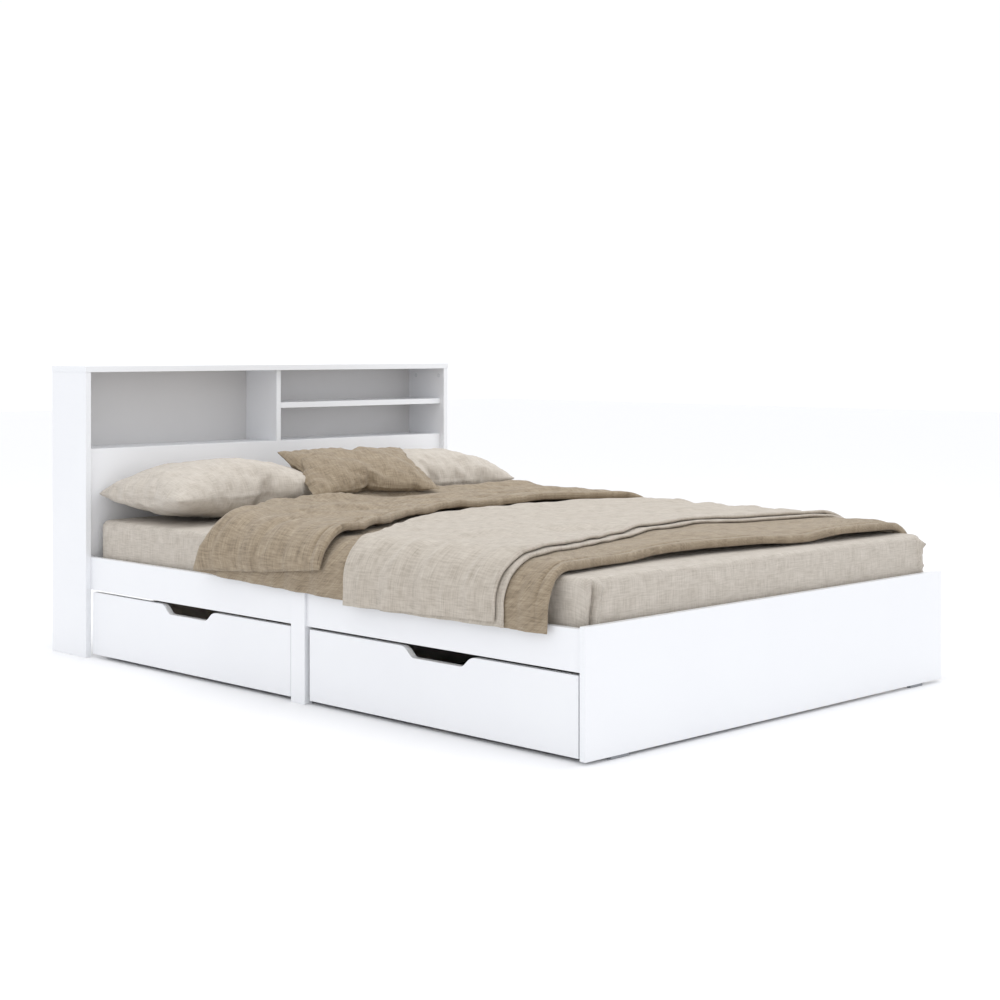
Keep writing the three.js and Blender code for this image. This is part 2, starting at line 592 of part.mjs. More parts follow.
function buildCovers() {
  const footEdge = ({ near, far }) => ({ near: MATTRESS_FOOT + near, far: MATTRESS_FOOT + far });
  const duvetFoot = footEdge(MATTRESS_FOOT_TO_DUVET);
  const duvetHead = edgeBefore({ near: PILLOW_FRONT, far: PILLOW_FRONT }, PILLOWS_TO_DUVET);
  const turnbackFoot = edgeBefore(duvetHead, TURNBACK_WIDTH);
  const throwFoot = footEdge(MATTRESS_FOOT_TO_THROW);
  const throwHead = edgeBefore(turnbackFoot, TURNBACK_TO_THROW);
  const hem = RAIL_TOP - HEM_BELOW_RAIL_TOP;

  const duvetInner = POST_FACE + SOFT_CLEARANCE;
  const duvetOuter = duvetInner + DUVET_DROP_THICKNESS;
  const duvetUnder = MATTRESS_TOP + SOFT_CLEARANCE;
  const duvetTop = duvetUnder + DUVET_THICKNESS;
  const turnbackTop = duvetTop + TURNBACK_THICKNESS;
  const turnbackHem = RAIL_TOP + TURNBACK_HEM_ABOVE_RAIL_TOP;
  const turnbackOuter = duvetOuter + DUVET_DROP_THICKNESS / 2;
  const duvet = join(
    extrudeUp(spreadOutline(duvetOuter, duvetFoot, duvetHead), duvetUnder, duvetTop),
    ...dropGeometries(duvetInner, duvetOuter, duvetFoot, duvetHead, hem, duvetTop),
    extrudeUp(spreadOutline(turnbackOuter, turnbackFoot, duvetHead), duvetUnder, turnbackTop),
    ...dropGeometries(duvetInner, turnbackOuter, turnbackFoot, duvetHead, turnbackHem, turnbackTop),
  );
  addPiece(bed, 'duvet', 'taupeLinen', duvet);

  const throwInner = duvetOuter + CLEARANCE;
  const throwOuter = throwInner + THROW_DROP_THICKNESS;
  const throwUnder = duvetTop + SOFT_CLEARANCE;
  const throwTop = throwUnder + THROW_THICKNESS;
  const cover = join(
    extrudeUp(spreadOutline(throwOuter, throwFoot, throwHead), throwUnder, throwTop),
    ...dropGeometries(throwInner, throwOuter, throwFoot, throwHead, hem, throwTop),
  );
  addPiece(bed, 'throw', 'throwLinen', cover);
}

buildHeadboard();
buildFrame();
buildSlatBase();
buildDrawer('foot', FOOT_BACK + BAY / 2);
buildDrawer('head', HEAD_FRONT - BAY / 2);
buildMattress();
buildPillows();
buildCovers();

export default bed;
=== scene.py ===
"""Looks of a double platform bed: white melamine boards, two rolling drawers and washed linen bedding.

Metres, +Z up, in the CAD frame. +Y runs from the foot of the bed to its headboard, and the drawers roll out
towards -X. The near side of the bed is the drawer side.
"""

import json
import logging
import math
from dataclasses import dataclass, field
from enum import Enum

import bmesh
import bpy
import numpy as np
from mathutils import Matrix, Vector


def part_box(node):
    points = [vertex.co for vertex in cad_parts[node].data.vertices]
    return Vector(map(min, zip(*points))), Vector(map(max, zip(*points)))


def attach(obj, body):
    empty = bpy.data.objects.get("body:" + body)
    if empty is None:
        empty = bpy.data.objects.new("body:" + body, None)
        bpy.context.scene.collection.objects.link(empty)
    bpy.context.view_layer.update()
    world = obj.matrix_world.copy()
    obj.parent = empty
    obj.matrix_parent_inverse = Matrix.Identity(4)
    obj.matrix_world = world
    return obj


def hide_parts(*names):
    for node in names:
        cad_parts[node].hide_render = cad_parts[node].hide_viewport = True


LOG = logging.getLogger("bed")
MM = 0.001
ROOT = "frame"

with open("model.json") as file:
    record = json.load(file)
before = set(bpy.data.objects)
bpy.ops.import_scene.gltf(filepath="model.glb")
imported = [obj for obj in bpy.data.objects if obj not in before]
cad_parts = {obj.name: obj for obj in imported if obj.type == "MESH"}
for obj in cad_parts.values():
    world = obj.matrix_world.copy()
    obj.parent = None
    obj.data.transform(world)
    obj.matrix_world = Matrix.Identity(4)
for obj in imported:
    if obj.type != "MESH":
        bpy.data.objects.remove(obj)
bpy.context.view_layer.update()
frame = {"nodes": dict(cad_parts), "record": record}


class Side(Enum):
    """The two long sides of the bed."""

    LEFT = -1
    RIGHT = 1


class DrawerEnd(Enum):
    """The end of the bed that a drawer is nearer to."""

    FOOT = "foot"
    HEAD = "head"


# ------------------------------------------------------------------ small tools


def linear(code: str) -> tuple[float, float, float, float]:
    """Turns an sRGB hex colour into the linear colour that a shader takes.

    Args:
        code: six hex digits.

    Returns:
        Red, green, blue and an alpha of 1.
    """
    channels = [int(code[i : i + 2], 16) / 255 for i in (0, 2, 4)]
    red, green, blue = (c / 12.92 if c <= 0.04045 else ((c + 0.055) / 1.055) ** 2.4 for c in channels)
    return red, green, blue, 1.0


def add(tree: bpy.types.NodeTree, kind: str, inputs: dict | None = None, **settings) -> bpy.types.Node:
    """Adds one node with its settings and links.

    Args:
        tree: the node tree that gets the node.
        kind: the node's type name.
        inputs: values or output sockets, by the input's name or number.
        settings: the node's own properties.

    Returns:
        The new node.
    """
    node = tree.nodes.new(kind)
    for name, value in settings.items():
        setattr(node, name, value)
    for key, value in (inputs or {}).items():
        if isinstance(value, bpy.types.NodeSocket):
            tree.links.new(value, node.inputs[key])
        else:
            node.inputs[key].default_value = value
    return node


def object_from(name: str, mesh: bpy.types.Mesh) -> bpy.types.Object:
    """Links a mesh into the scene as an object at the origin."""
    piece = bpy.data.objects.new(name, mesh)
    bpy.context.scene.collection.objects.link(piece)
    return piece


def mesh_from(name: str, points: np.ndarray, faces: list) -> bpy.types.Mesh:
    """Makes a mesh from points and faces.

    Args:
        name: the mesh's name.
        points: one row for each point, in metres.
        faces: the point numbers of each face.

    Returns:
        The mesh.
    """
    mesh = bpy.data.meshes.new(name)
    mesh.from_pydata(np.asarray(points, float).tolist(), [], [list(map(int, f)) for f in faces])
    mesh.update()
    return mesh


def quads_of(index: np.ndarray, flipped: bool = False) -> np.ndarray:
    """Returns the faces of a grid of point numbers; flipped turns them over."""
    corners = [index[:-1, :-1], index[:-1, 1:], index[1:, 1:], index[1:, :-1]]
    if flipped:
        corners = [corners[i] for i in (0, 3, 2, 1)]
    return np.stack(corners, axis=-1).reshape(-1, 4)


def rim_of(index: np.ndarray) -> np.ndarray:
    """Returns the point numbers round a grid's border, in order."""
    return np.concatenate([index[0, :], index[1:, -1], index[-1, -2::-1], index[-2:0:-1, 0]])


def points_of(mesh: bpy.types.Mesh) -> np.ndarray:
    """Returns a mesh's points, one row each."""
    points = np.empty(len(mesh.vertices) * 3)
    mesh.vertices.foreach_get("co", points)
    return points.reshape(-1, 3)


def normals_of(mesh: bpy.types.Mesh) -> np.ndarray:
    """Returns the normal at each of a mesh's points."""
    normals = np.empty(len(mesh.vertices) * 3)
    mesh.vertex_normals.foreach_get("vector", normals)
    return normals.reshape(-1, 3)


def move_points(mesh: bpy.types.Mesh, points: np.ndarray) -> None:
    """Moves a mesh's points to new places."""
    mesh.vertices.foreach_set("co", points.ravel())
    mesh.update()


def loop_points(mesh: bpy.types.Mesh) -> np.ndarray:
    """Returns the point number at each corner of each face."""
    loops = np.empty(len(mesh.loops), np.int32)
    mesh.loops.foreach_get("vertex_index", loops)
    return loops


def lay_cloth(mesh: bpy.types.Mesh, flat: np.ndarray) -> None:
    """Gives each corner of each face its place in the flat cloth, in metres."""
    mesh.uv_layers.new(name="cloth").data.foreach_set("uv", flat.astype(np.float32).ravel())


def give(piece: bpy.types.Object, *materials: bpy.types.Material) -> None:
    """Gives a piece its materials, in slot order."""
    piece.data.materials.clear()
    for material in materials:
        piece.data.materials.append(material)


def smooth(mesh: bpy.types.Mesh, angle: float = math.pi) -> None:
    """Shades a mesh smooth, except across edges sharper than the angle."""
    mesh.polygons.foreach_set("use_smooth", [True] * len(mesh.polygons))
    mesh.set_sharp_from_angle(angle=angle)
    mesh.update()


def applied(piece: bpy.types.Object) -> bpy.types.Mesh:
    """Returns the piece's mesh with its modifiers applied."""
    depsgraph = bpy.context.evaluated_depsgraph_get()
    return bpy.data.meshes.new_from_object(piece.evaluated_get(depsgraph), depsgraph=depsgraph)


def body_of(node: str) -> str:
    """Returns the CAD body that a CAD node belongs to."""
    bodies = frame["record"]["behaviour"]["bodies"]
    return next(body for body, nodes in bodies.items() if node in nodes)


def place(piece: bpy.types.Object, body: str, slot: str, *nodes: str) -> bpy.types.Object:
    """Rides a finished piece on its body and hides the CAD nodes it stands for.

    Args:
        piece: the finished piece, in place.
        body: the CAD body it moves with.
        slot: the record's material slot; not used.
        nodes: the CAD nodes that it replaces.

    Returns:
        The same piece.
    """
    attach(piece, body)
    if nodes:
        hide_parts(*nodes)
    return piece


# ------------------------------------------------------------------ finishes


def new_material(name: str) -> tuple[bpy.types.Material, bpy.types.NodeTree, bpy.types.Node]:
    """Makes a material with an empty tree, apart from its shader.

    Args:
        name: the material's name.

    Returns:
        The material, its tree and its Principled shader.
    """
    material = bpy.data.materials.new(name)
    material.use_nodes = True
    tree = material.node_tree
    tree.nodes.clear()
    shader = add(tree, "ShaderNodeBsdfPrincipled")
    add(tree, "ShaderNodeOutputMaterial", {"Surface": shader.outputs["BSDF"]})
    return material, tree, shader


def object_space(tree: bpy.types.NodeTree) -> bpy.types.NodeSocket:
    """Returns the place on the object, for patterns that don't need the cloth's own coordinates."""
    return add(tree, "ShaderNodeTexCoord").outputs["Object"]


def noise(tree: bpy.types.NodeTree, space: bpy.types.NodeSocket, scale: float,
          detail: float) -> bpy.types.Node:
    """Adds a noise texture that is read in the given space."""
    return add(tree, "ShaderNodeTexNoise", {"Vector": space, "Scale": scale, "Detail": detail})


def toned(tree: bpy.types.NodeTree, factor: bpy.types.NodeSocket, dark: tuple | list,
          light: tuple | list) -> bpy.types.NodeSocket:
    """Adds a mix of two colours.

    Args:
        tree: the material's tree.
        factor: 0 for the dark colour, 1 for the light one.
        dark: a linear colour.
        light: a linear colour.

    Returns:
        The mixed colour.
    """
    return add(tree, "ShaderNodeMix", {"Factor": factor, 6: dark, 7: light}, data_type="RGBA").outputs[2]


def combined(tree: bpy.types.NodeTree, operation: str,
             *values: bpy.types.NodeSocket | float) -> bpy.types.NodeSocket:
    """Adds one sum on the values and returns its result."""
    return add(tree, "ShaderNodeMath", dict(enumerate(values)), operation=operation).outputs["Value"]


def dress(tree: bpy.types.NodeTree, shader: bpy.types.Node, colour: bpy.types.NodeSocket,
          height: bpy.types.NodeSocket, depth: float, **relief: float) -> None:
    """Gives a shader its colour and its fine relief.

    Args:
        tree: the material's tree.
        shader: the Principled shader.
        colour: the base colour.
        height: what the relief follows.
        depth: how deep it is, in metres.
        relief: other values of the bump node.
    """
    bump = add(tree, "ShaderNodeBump", {"Height": height, "Distance": depth, **relief})
    tree.links.new(colour, shader.inputs["Base Color"])
    tree.links.new(bump.outputs["Normal"], shader.inputs["Normal"])


@dataclass(frozen=True)
class MelamineBoard:
    """Particleboard faced with melamine paper: a cool satin white with a faint pearl grain."""

    name: str
    light: str
    dark: str
    roughness: float = 0.36
    pearl_mm: float = 2.2
    cloud_mm: float = 260.0
    relief_mm: float = 0.02
    shine_spread: tuple[float, float] = (-0.05, 0.07)

    def build(self) -> bpy.types.Material:
        """Returns the material."""
        material, tree, shader = new_material(self.name)
        space = object_space(tree)
        cloud = noise(tree, space, 1 / (self.cloud_mm * MM), 3.0).outputs["Fac"]
        pearl = noise(tree, space, 1 / (self.pearl_mm * MM), 2.0).outputs["Fac"]
        low, high = (self.roughness + spread for spread in self.shine_spread)
        gloss = add(tree, "ShaderNodeMapRange", {"Value": pearl, "To Min": low, "To Max": high})
        tree.links.new(gloss.outputs["Result"], shader.inputs["Roughness"])
        tone = toned(tree, cloud, linear(self.dark), linear(self.light))
        dress(tree, shader, tone, pearl, self.relief_mm * MM, Strength=0.5)
        shader.inputs["IOR"].default_value = 1.5
        return material


@dataclass(frozen=True)
class EdgeBand:
    """ABS edge banding, trimmed and buffed: a touch brighter than the board, with fine scraper lines."""

    name: str
    light: str
    dark: str
    line_mm: float = 1.5
    line_length_mm: float = 25.0
    relief_mm: float = 0.03

    def build(self) -> bpy.types.Material:
        """Returns the material."""
        material, tree, shader = new_material(self.name)
        along, over = 1 / (self.line_length_mm * MM), 1 / (self.line_mm * MM)
        space = add(tree, "ShaderNodeMapping", {"Vector": object_space(tree), "Scale": (along, along, over)})
        lines = noise(tree, space.outputs["Vector"], 1.0, 3.0).outputs["Fac"]
        tone = toned(tree, lines, linear(self.dark), linear(self.light))
        dress(tree, shader, tone, lines, self.relief_mm * MM)
        shader.inputs["Roughness"].default_value = 0.3
        return material


@dataclass(frozen=True)
class PlanedBirch:
    """Planed, unfinished birch: pale straw wood with long fine grain and darker late-wood streaks."""

    name: str
    light: str
    dark: str
    grain_axis: int
    grain_mm: float = 3.0
    streak_mm: float = 340.0
    relief_mm: float = 0.15
    ramp_ends: tuple[float, float] = (0.12, 0.38)

    def build(self) -> bpy.types.Material:
        """Returns the material."""
        material, tree, shader = new_material(self.name)
        scale = [1 / (self.grain_mm * MM)] * 3
        scale[self.grain_axis] = 1 / (self.streak_mm * MM)
        mapping = add(tree, "ShaderNodeMapping", {"Vector": object_space(tree), "Scale": scale})
        space = mapping.outputs["Vector"]
        grain = noise(tree, space, 1.0, 6.0)
        grain.inputs["Distortion"].default_value = 0.6
        figure = noise(tree, space, 0.18, 2.0)
        both = combined(tree, "MULTIPLY", grain.outputs["Fac"], figure.outputs["Fac"])
        ramp = add(tree, "ShaderNodeValToRGB", {"Fac": both})
        for stop, position, colour in zip(ramp.color_ramp.elements, self.ramp_ends, (self.dark, self.light)):
            stop.position = position
            stop.color = linear(colour)
        dress(tree, shader, ramp.outputs["Color"], grain.outputs["Fac"], self.relief_mm * MM)
        shader.inputs["Roughness"].default_value = 0.62
        return material


@dataclass(frozen=True)
class Hardboard:
    """Black-faced hardboard: a flat dark sheet with short pressed fibres; its black is painted shade for the
    inside of the drawers, seen through the hand cut-outs.
    """

    name: str
    light: str
    dark: str
    fibre_mm: float = 4.0
    relief_mm: float = 0.1

    def build(self) -> bpy.types.Material:
        """Returns the material."""
        material, tree, shader = new_material(self.name)
        space, fibre = object_space(tree), self.fibre_mm * MM
        fibres = add(tree, "ShaderNodeTexVoronoi", {"Vector": space, "Scale": 1 / fibre}).outputs["Distance"]
        mixed = combined(tree, "MULTIPLY", fibres, noise(tree, space, 2 / fibre, 4.0).outputs["Fac"])
        tone = toned(tree, mixed, linear(self.dark), linear(self.light))
        dress(tree, shader, tone, mixed, self.relief_mm * MM)
        shader.inputs["Roughness"].default_value = 0.6
        return material


@dataclass(frozen=True)
class MouldedPlastic:
    """Injection-moulded plastic with a spark-eroded skin: fine even grit that breaks up its shine."""

    name: str
    colour: str
    roughness: float
    grit_mm: float = 0.9
    relief_mm: float = 0.06
    contrast: float = 0.2

    def build(self) -> bpy.types.Material:
        """Returns the material."""
        material, tree, shader = new_material(self.name)
        grit = noise(tree, object_space(tree), 1 / (self.grit_mm * MM), 3.0).outputs["Fac"]
        base = linear(self.colour)[:3]
        dark = [(1 - self.contrast) * c for c in base] + [1.0]
        light = [min(1.0, (1 + self.contrast) * c) for c in base] + [1.0]
        dress(tree, shader, toned(tree, grit, dark, light), grit, self.relief_mm * MM)
        shader.inputs["Roughness"].default_value = self.roughness
        return material


@dataclass(frozen=True)
class ZincSteel:
    """Zinc-plated steel for screws and nails: a cool grey metal with a slightly uneven shine."""

    name: str
    colour: str
    cloud_scale: float = 900.0

    def build(self) -> bpy.types.Material:
        """Returns the material."""
        material, tree, shader = new_material(self.name)
        cloud = noise(tree, object_space(tree), self.cloud_scale, 2.0).outputs["Fac"]
        gloss = add(tree, "ShaderNodeMapRange", {"Value": cloud, "To Min": 0.25, "To Max": 0.45})
        tree.links.new(gloss.outputs["Result"], shader.inputs["Roughness"])
        shader.inputs["Base Color"].default_value = linear(self.colour)
        shader.inputs["Metallic"].default_value = 1.0
        return material


@dataclass(frozen=True)
class WashedLinen:
    """Stone-washed linen: matt, with slubs that run both ways in the cloth, soft mottling and a dusty sheen.

    Real threads lie about 0.5 mm apart and slubs are about 1 mm thick, too fine to show, so the weave's
    relief is drawn at thread_mm and the slubs at slub_mm.
    """

    name: str
    light: str
    mid: str
    dark: str
    thread_mm: float = 1.5
    slub_mm: float = 3.4
    slub_length_mm: float = 42.0
    mottle_mm: float = 34.0
    mottle_share: float = 0.6
    relief_mm: float = 0.35
    ramp_ends: tuple[float, float] = (0.36, 0.64)

    def slubs(self, tree: bpy.types.NodeTree, cloth: bpy.types.NodeSocket,
              along: int) -> bpy.types.NodeSocket:
        """Adds the thick and thin stretches of the threads that run one way.

        Args:
            tree: the material's tree.
            cloth: the cloth's own coordinates, in metres.
            along: 0 for threads across the cloth, 1 for threads along it.

        Returns:
            The noise's output.
        """
        scale = [1 / (self.slub_mm * MM), 1 / (self.slub_mm * MM), 1.0]
        scale[along] = 1 / (self.slub_length_mm * MM)
        shifted = {"Vector": cloth, "Scale": scale, "Location": (3.1 * along, 1.7, 0.0)}
        slub = noise(tree, add(tree, "ShaderNodeMapping", shifted).outputs["Vector"], 1.0, 3.0)
        slub.inputs["Roughness"].default_value = 0.62
        return slub.outputs["Fac"]

    def weave(self, tree: bpy.types.NodeTree, cloth: bpy.types.NodeSocket) -> bpy.types.NodeSocket:
        """Returns the height of threads that cross each other."""
        scale = 0.05 / (self.thread_mm * MM) * 2 * math.pi
        values = {"Vector": cloth, "Scale": scale, "Distortion": 1.2, "Detail": 1.0}
        waves = [add(tree, "ShaderNodeTexWave", values, bands_direction=way).outputs["Fac"] for way in ("X", "Y")]
        return combined(tree, "MULTIPLY", *waves)

    def build(self) -> bpy.types.Material:
        """Returns the material."""
        material, tree, shader = new_material(self.name)
        cloth = add(tree, "ShaderNodeUVMap", uv_map="cloth").outputs["UV"]
        slub = combined(tree, "ADD", self.slubs(tree, cloth, 0), self.slubs(tree, cloth, 1))
        mottle = noise(tree, cloth, 1 / (self.mottle_mm * MM), 5.0).outputs["Fac"]
        mixed = combined(tree, "MULTIPLY_ADD", mottle, self.mottle_share, slub)
        level = combined(tree, "DIVIDE", mixed, 2.0 + self.mottle_share)
        ramp = add(tree, "ShaderNodeValToRGB", {"Fac": level})
        for stop, position, colour in zip(ramp.color_ramp.elements, self.ramp_ends, (self.dark, self.light)):
            stop.position = position
            stop.color = linear(colour)
        ramp.color_ramp.elements.new(0.5).color = linear(self.mid)
        height = combined(tree, "MULTIPLY_ADD", slub, 1.6, self.weave(tree, cloth))
        dress(tree, shader, ramp.outputs["Color"], height, self.relief_mm * MM, Strength=0.8)
        for name, value in {"Roughness": 0.94, "Specular IOR Level": 0.2, "Sheen Weight": 0.18,
                            "Sheen Roughness": 0.5}.items():
            shader.inputs[name].default_value = value
        return material


def made(finish: object) -> bpy.types.Material:
    """Returns a dataclass field that builds this finish."""
    return field(default_factory=finish.build)


@dataclass(frozen=True)
class Finishes:
    """Every finish on the bed, built once."""

    board: bpy.types.Material = made(MelamineBoard("white_melamine_board", "EFF0F2", "EBECEF"))
    # The inside board is a shade darker than the outer board: painted shade for the insides of the shelves and
    # drawers.
    inner: bpy.types.Material = made(MelamineBoard("inner_melamine_board", "E9EAED", "E3E5E8"))
    # The back sheet's grey is painted shade for the recessed shelf compartments.
    backing: bpy.types.Material = made(MelamineBoard("lacquered_backing_sheet", "D6D5D5", "CECDCD", 0.5))
    band: bpy.types.Material = made(EdgeBand("white_abs_edge_band", "F0F1F3", "E8EAED"))
    birch_across: bpy.types.Material = made(PlanedBirch("planed_birch_across", "E3CFA8", "BF9F70", 0))
    birch_along: bpy.types.Material = made(PlanedBirch("planed_birch_along", "DFCAA2", "B99A6C", 1))
    birch_upright: bpy.types.Material = made(PlanedBirch("planed_birch_upright", "DFCAA2", "B99A6C", 2))
    # The black drawer bottoms are painted shade for the drawers' insides.
    hardboard: bpy.types.Material = made(Hardboard("black_hardboard", "2E2E30", "161617"))
    grey: bpy.types.Material = made(MouldedPlastic("grey_moulded_nylon", "8C8F93", 0.45))
    black: bpy.types.Material = made(MouldedPlastic("black_moulded_rubber", "242526", 0.6))
    white: bpy.types.Material = made(MouldedPlastic("white_moulded_caps", "DDDFE2", 0.35))
    steel: bpy.types.Material = made(ZincSteel("zinc_plated_steel", "B9BCC0"))
    sheet: bpy.types.Material = made(WashedLinen("beige_linen_sheet", "D0C8BE", "C1B9AE", "ADA498"))
    pillow: bpy.types.Material = made(WashedLinen("greige_linen_pillowcase", "D6CEC4", "C8C0B5", "B4AB9F"))
    taupe: bpy.types.Material = made(WashedLinen("taupe_linen_duvet_cover", "B1A28C", "9A8B76", "776957"))
    throw: bpy.types.Material = made(WashedLinen("pale_linen_throw", "CBC3B7", "BCB3A7", "A49B8E"))


# ------------------------------------------------------------------ geometry-node trees


def group_sockets(tree: bpy.types.NodeTree, sockets: dict[str, str]) -> tuple[bpy.types.Node, bpy.types.Node]:
    """Gives a geometry tree its named inputs and its output.

    Args:
        tree: the geometry tree.
        sockets: socket types by input name.

    Returns:
        The group's input and output nodes.
    """
    for name, kind in sockets.items():
        tree.interface.new_socket(name, in_out="INPUT", socket_type=kind)
    tree.interface.new_socket("Geometry", in_out="OUTPUT", socket_type="NodeSocketGeometry")
    return add(tree, "NodeGroupInput"), add(tree, "NodeGroupOutput")


def run_tree(host: bpy.types.Object, tree: bpy.types.NodeTree, values: dict[str, object]) -> bpy.types.Mesh:
    """Runs a geometry tree on an object and returns the plain mesh it makes.

    Args:
        host: the object that holds the tree's input geometry.
        tree: the geometry tree.
        values: input values by name.

    Returns:
        The made mesh; the host has no modifier left.
    """
    modifier = host.modifiers.new("made", "NODES")
    modifier.node_group = tree
    for item in tree.interface.items_tree:
        if item.in_out == "INPUT" and item.name in values:
            modifier[item.identifier] = values[item.name]
    mesh = applied(host)
    host.modifiers.remove(modifier)
    return mesh


def row_tree() -> bpy.types.NodeTree:
    """Returns a tree that repeats its input geometry along a straight row."""
    tree = bpy.data.node_groups.new("row_of_slats", "GeometryNodeTree")
    start, end = group_sockets(tree, {"Geometry": "NodeSocketGeometry", "Count": "NodeSocketInt",
                                      "Step": "NodeSocketVector", "Material": "NodeSocketMaterial"})
    line = add(tree, "GeometryNodeMeshLine",
               {"Count": start.outputs["Count"], "Offset": start.outputs["Step"]})
    row = add(tree, "GeometryNodeInstanceOnPoints",
              {"Points": line.outputs["Mesh"], "Instance": start.outputs["Geometry"]})
    real = add(tree, "GeometryNodeRealizeInstances", {"Geometry": row.outputs["Instances"]})
    dressed = add(tree, "GeometryNodeSetMaterial",
                  {"Geometry": real.outputs["Geometry"], "Material": start.outputs["Material"]})
    tree.links.new(dressed.outputs["Geometry"], end.inputs["Geometry"])
    return tree


def scatter_tree() -> bpy.types.NodeTree:
    """Returns a tree that sets a small shape on each point, turned by the point's own "turn" attribute."""
    tree = bpy.data.node_groups.new("fixings_on_points", "GeometryNodeTree")
    start, end = group_sockets(tree, {"Geometry": "NodeSocketGeometry", "Shape": "NodeSocketObject",
                                      "Size": "NodeSocketFloat", "Material": "NodeSocketMaterial"})
    turn = add(tree, "GeometryNodeInputNamedAttribute", {"Name": "turn"}, data_type="FLOAT_VECTOR")
    shape = add(tree, "GeometryNodeObjectInfo", {"Object": start.outputs["Shape"]})
    euler = add(tree, "FunctionNodeEulerToRotation", {"Euler": turn.outputs["Attribute"]})
    spread = add(tree, "GeometryNodeInstanceOnPoints",
                 {"Points": start.outputs["Geometry"], "Instance": shape.outputs["Geometry"],
                  "Rotation": euler.outputs["Rotation"], "Scale": start.outputs["Size"]})
    real = add(tree, "GeometryNodeRealizeInstances", {"Geometry": spread.outputs["Instances"]})
    dressed = add(tree, "GeometryNodeSetMaterial",
                  {"Geometry": real.outputs["Geometry"], "Material": start.outputs["Material"]})
    tree.links.new(dressed.outputs["Geometry"], end.inputs["Geometry"])
    return tree


def turned_shape(name: str, profile: list[tuple[float, float]], sides: int) -> bpy.types.Mesh:
    """Turns a profile about Z into a closed shape.

    Args:
        name: the mesh's name.
        profile: radius and height of each ring, bottom to top, in metres; a radius of 0 closes an end.
        sides: faces round the shape.

    Returns:
        The mesh.
    """
    work = bmesh.new()
    rings = []
    for radius, height in profile:
        if radius == 0:
            rings.append([work.verts.new((0, 0, height))])
            continue
        angles = [2 * math.pi * k / sides for k in range(sides)]
        rings.append([work.verts.new((radius * math.cos(a), radius * math.sin(a), height)) for a in angles])
    for low, high in zip(rings, rings[1:]):
        for k in range(sides):
            after = (k + 1) % sides
            corners = [low[k % len(low)], low[after % len(low)], high[after % len(high)], high[k % len(high)]]
            work.faces.new(list(dict.fromkeys(corners)))
    bmesh.ops.recalc_face_normals(work, faces=work.faces)
    mesh = bpy.data.meshes.new(name)
    work.to_mesh(mesh)
    work.free()
    return mesh


@dataclass
class FixingKit:
    """Screw heads, nail heads, caps and staples, set out on points by one geometry tree."""

    tree: bpy.types.NodeTree = field(default_factory=scatter_tree)

    def set_out(self, name: str, shape: bpy.types.Mesh, points: list, turns: list,
                material: bpy.types.Material, size: float = 1.0) -> bpy.types.Object:
        """Sets one shape on many points.

        Args:
            name: the new piece's name.
            shape: the small shape, pointing along +Z.
            points: where each one goes.
            turns: the Euler turn of each one.
            material: the finish.
            size: scale of the shape.

        Returns:
            One plain piece that holds them all.
        """
        tool = object_from(name + "_tool", shape)
        host = object_from(name, mesh_from(name, np.array(points), []))
        turn = host.data.attributes.new("turn", "FLOAT_VECTOR", "POINT")
        turn.data.foreach_set("vector", np.array(turns, np.float32).ravel())
        mesh = run_tree(host, self.tree, {"Shape": tool, "Size": size, "Material": material})
        host.data = mesh
        bpy.data.objects.remove(tool)
        return host


# ------------------------------------------------------------------ boards


@dataclass
class Joinery:
    """Boards, battens and mouldings cut as the CAD says, with their edges eased."""

    finishes: Finishes
    ease: float = 0.8 * MM

    def eased(self, node: str, suffix: str, ease: float, flat_angle: float = 0.5) -> bpy.types.Object:
        """Copies a CAD node's shape and rounds its sharp edges.

        Args:
            node: the CAD node.
            suffix: added to the node's name.
            ease: radius of the rounding.
            flat_angle: faces that meet at less than this many degrees are made one.

        Returns:
            The new object, not yet dressed.
        """
        work = bmesh.new()
        work.from_mesh(frame["nodes"][node].data)
        bmesh.ops.remove_doubles(work, verts=work.verts, dist=0.01 * MM)
        bmesh.ops.dissolve_limit(work, angle_limit=math.radians(flat_angle), verts=work.verts,
                                 edges=work.edges)
        paired = [e for e in work.edges if len(e.link_faces) == 2]
        sharp = [e for e in paired if e.calc_face_angle(0) > math.radians(30)]
        bmesh.ops.bevel(work, geom=sharp, offset=ease, segments=2, profile=0.5, affect="EDGES",
                        clamp_overlap=True)
        mesh = bpy.data.meshes.new(f"{node}_{suffix}")
        work.to_mesh(mesh)
        work.free()
        return object_from(f"{node}_{suffix}", mesh)

    def board(self, node: str, slot: str = "white_board", inner: bool = False) -> bpy.types.Object:
        """Makes one board: melamine on its two faces and edge band round its narrow sides.

        Args:
            node: the CAD node.
            slot: the record's material slot.
            inner: whether it has the darker inside facing, whose darkness is painted shade.

        Returns:
            The finished piece.
        """
        piece = self.eased(node, "panel", self.ease)
        low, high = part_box(node)
        thin = min(range(3), key=lambda axis: high[axis] - low[axis])
        give(piece, self.finishes.inner if inner else self.finishes.board, self.finishes.band)
        for face in piece.data.polygons:
            face.material_index = 0 if abs(face.normal[thin]) > 0.9 else 1
        return place(piece, body_of(node), slot, node)

    def plain(self, node: str, suffix: str, material: bpy.types.Material, slot: str) -> bpy.types.Object:
        """Makes one eased piece in a single finish."""
        piece = self.eased(node, suffix, 0.5 * self.ease)
        give(piece, material)
        return place(piece, body_of(node), slot, node)


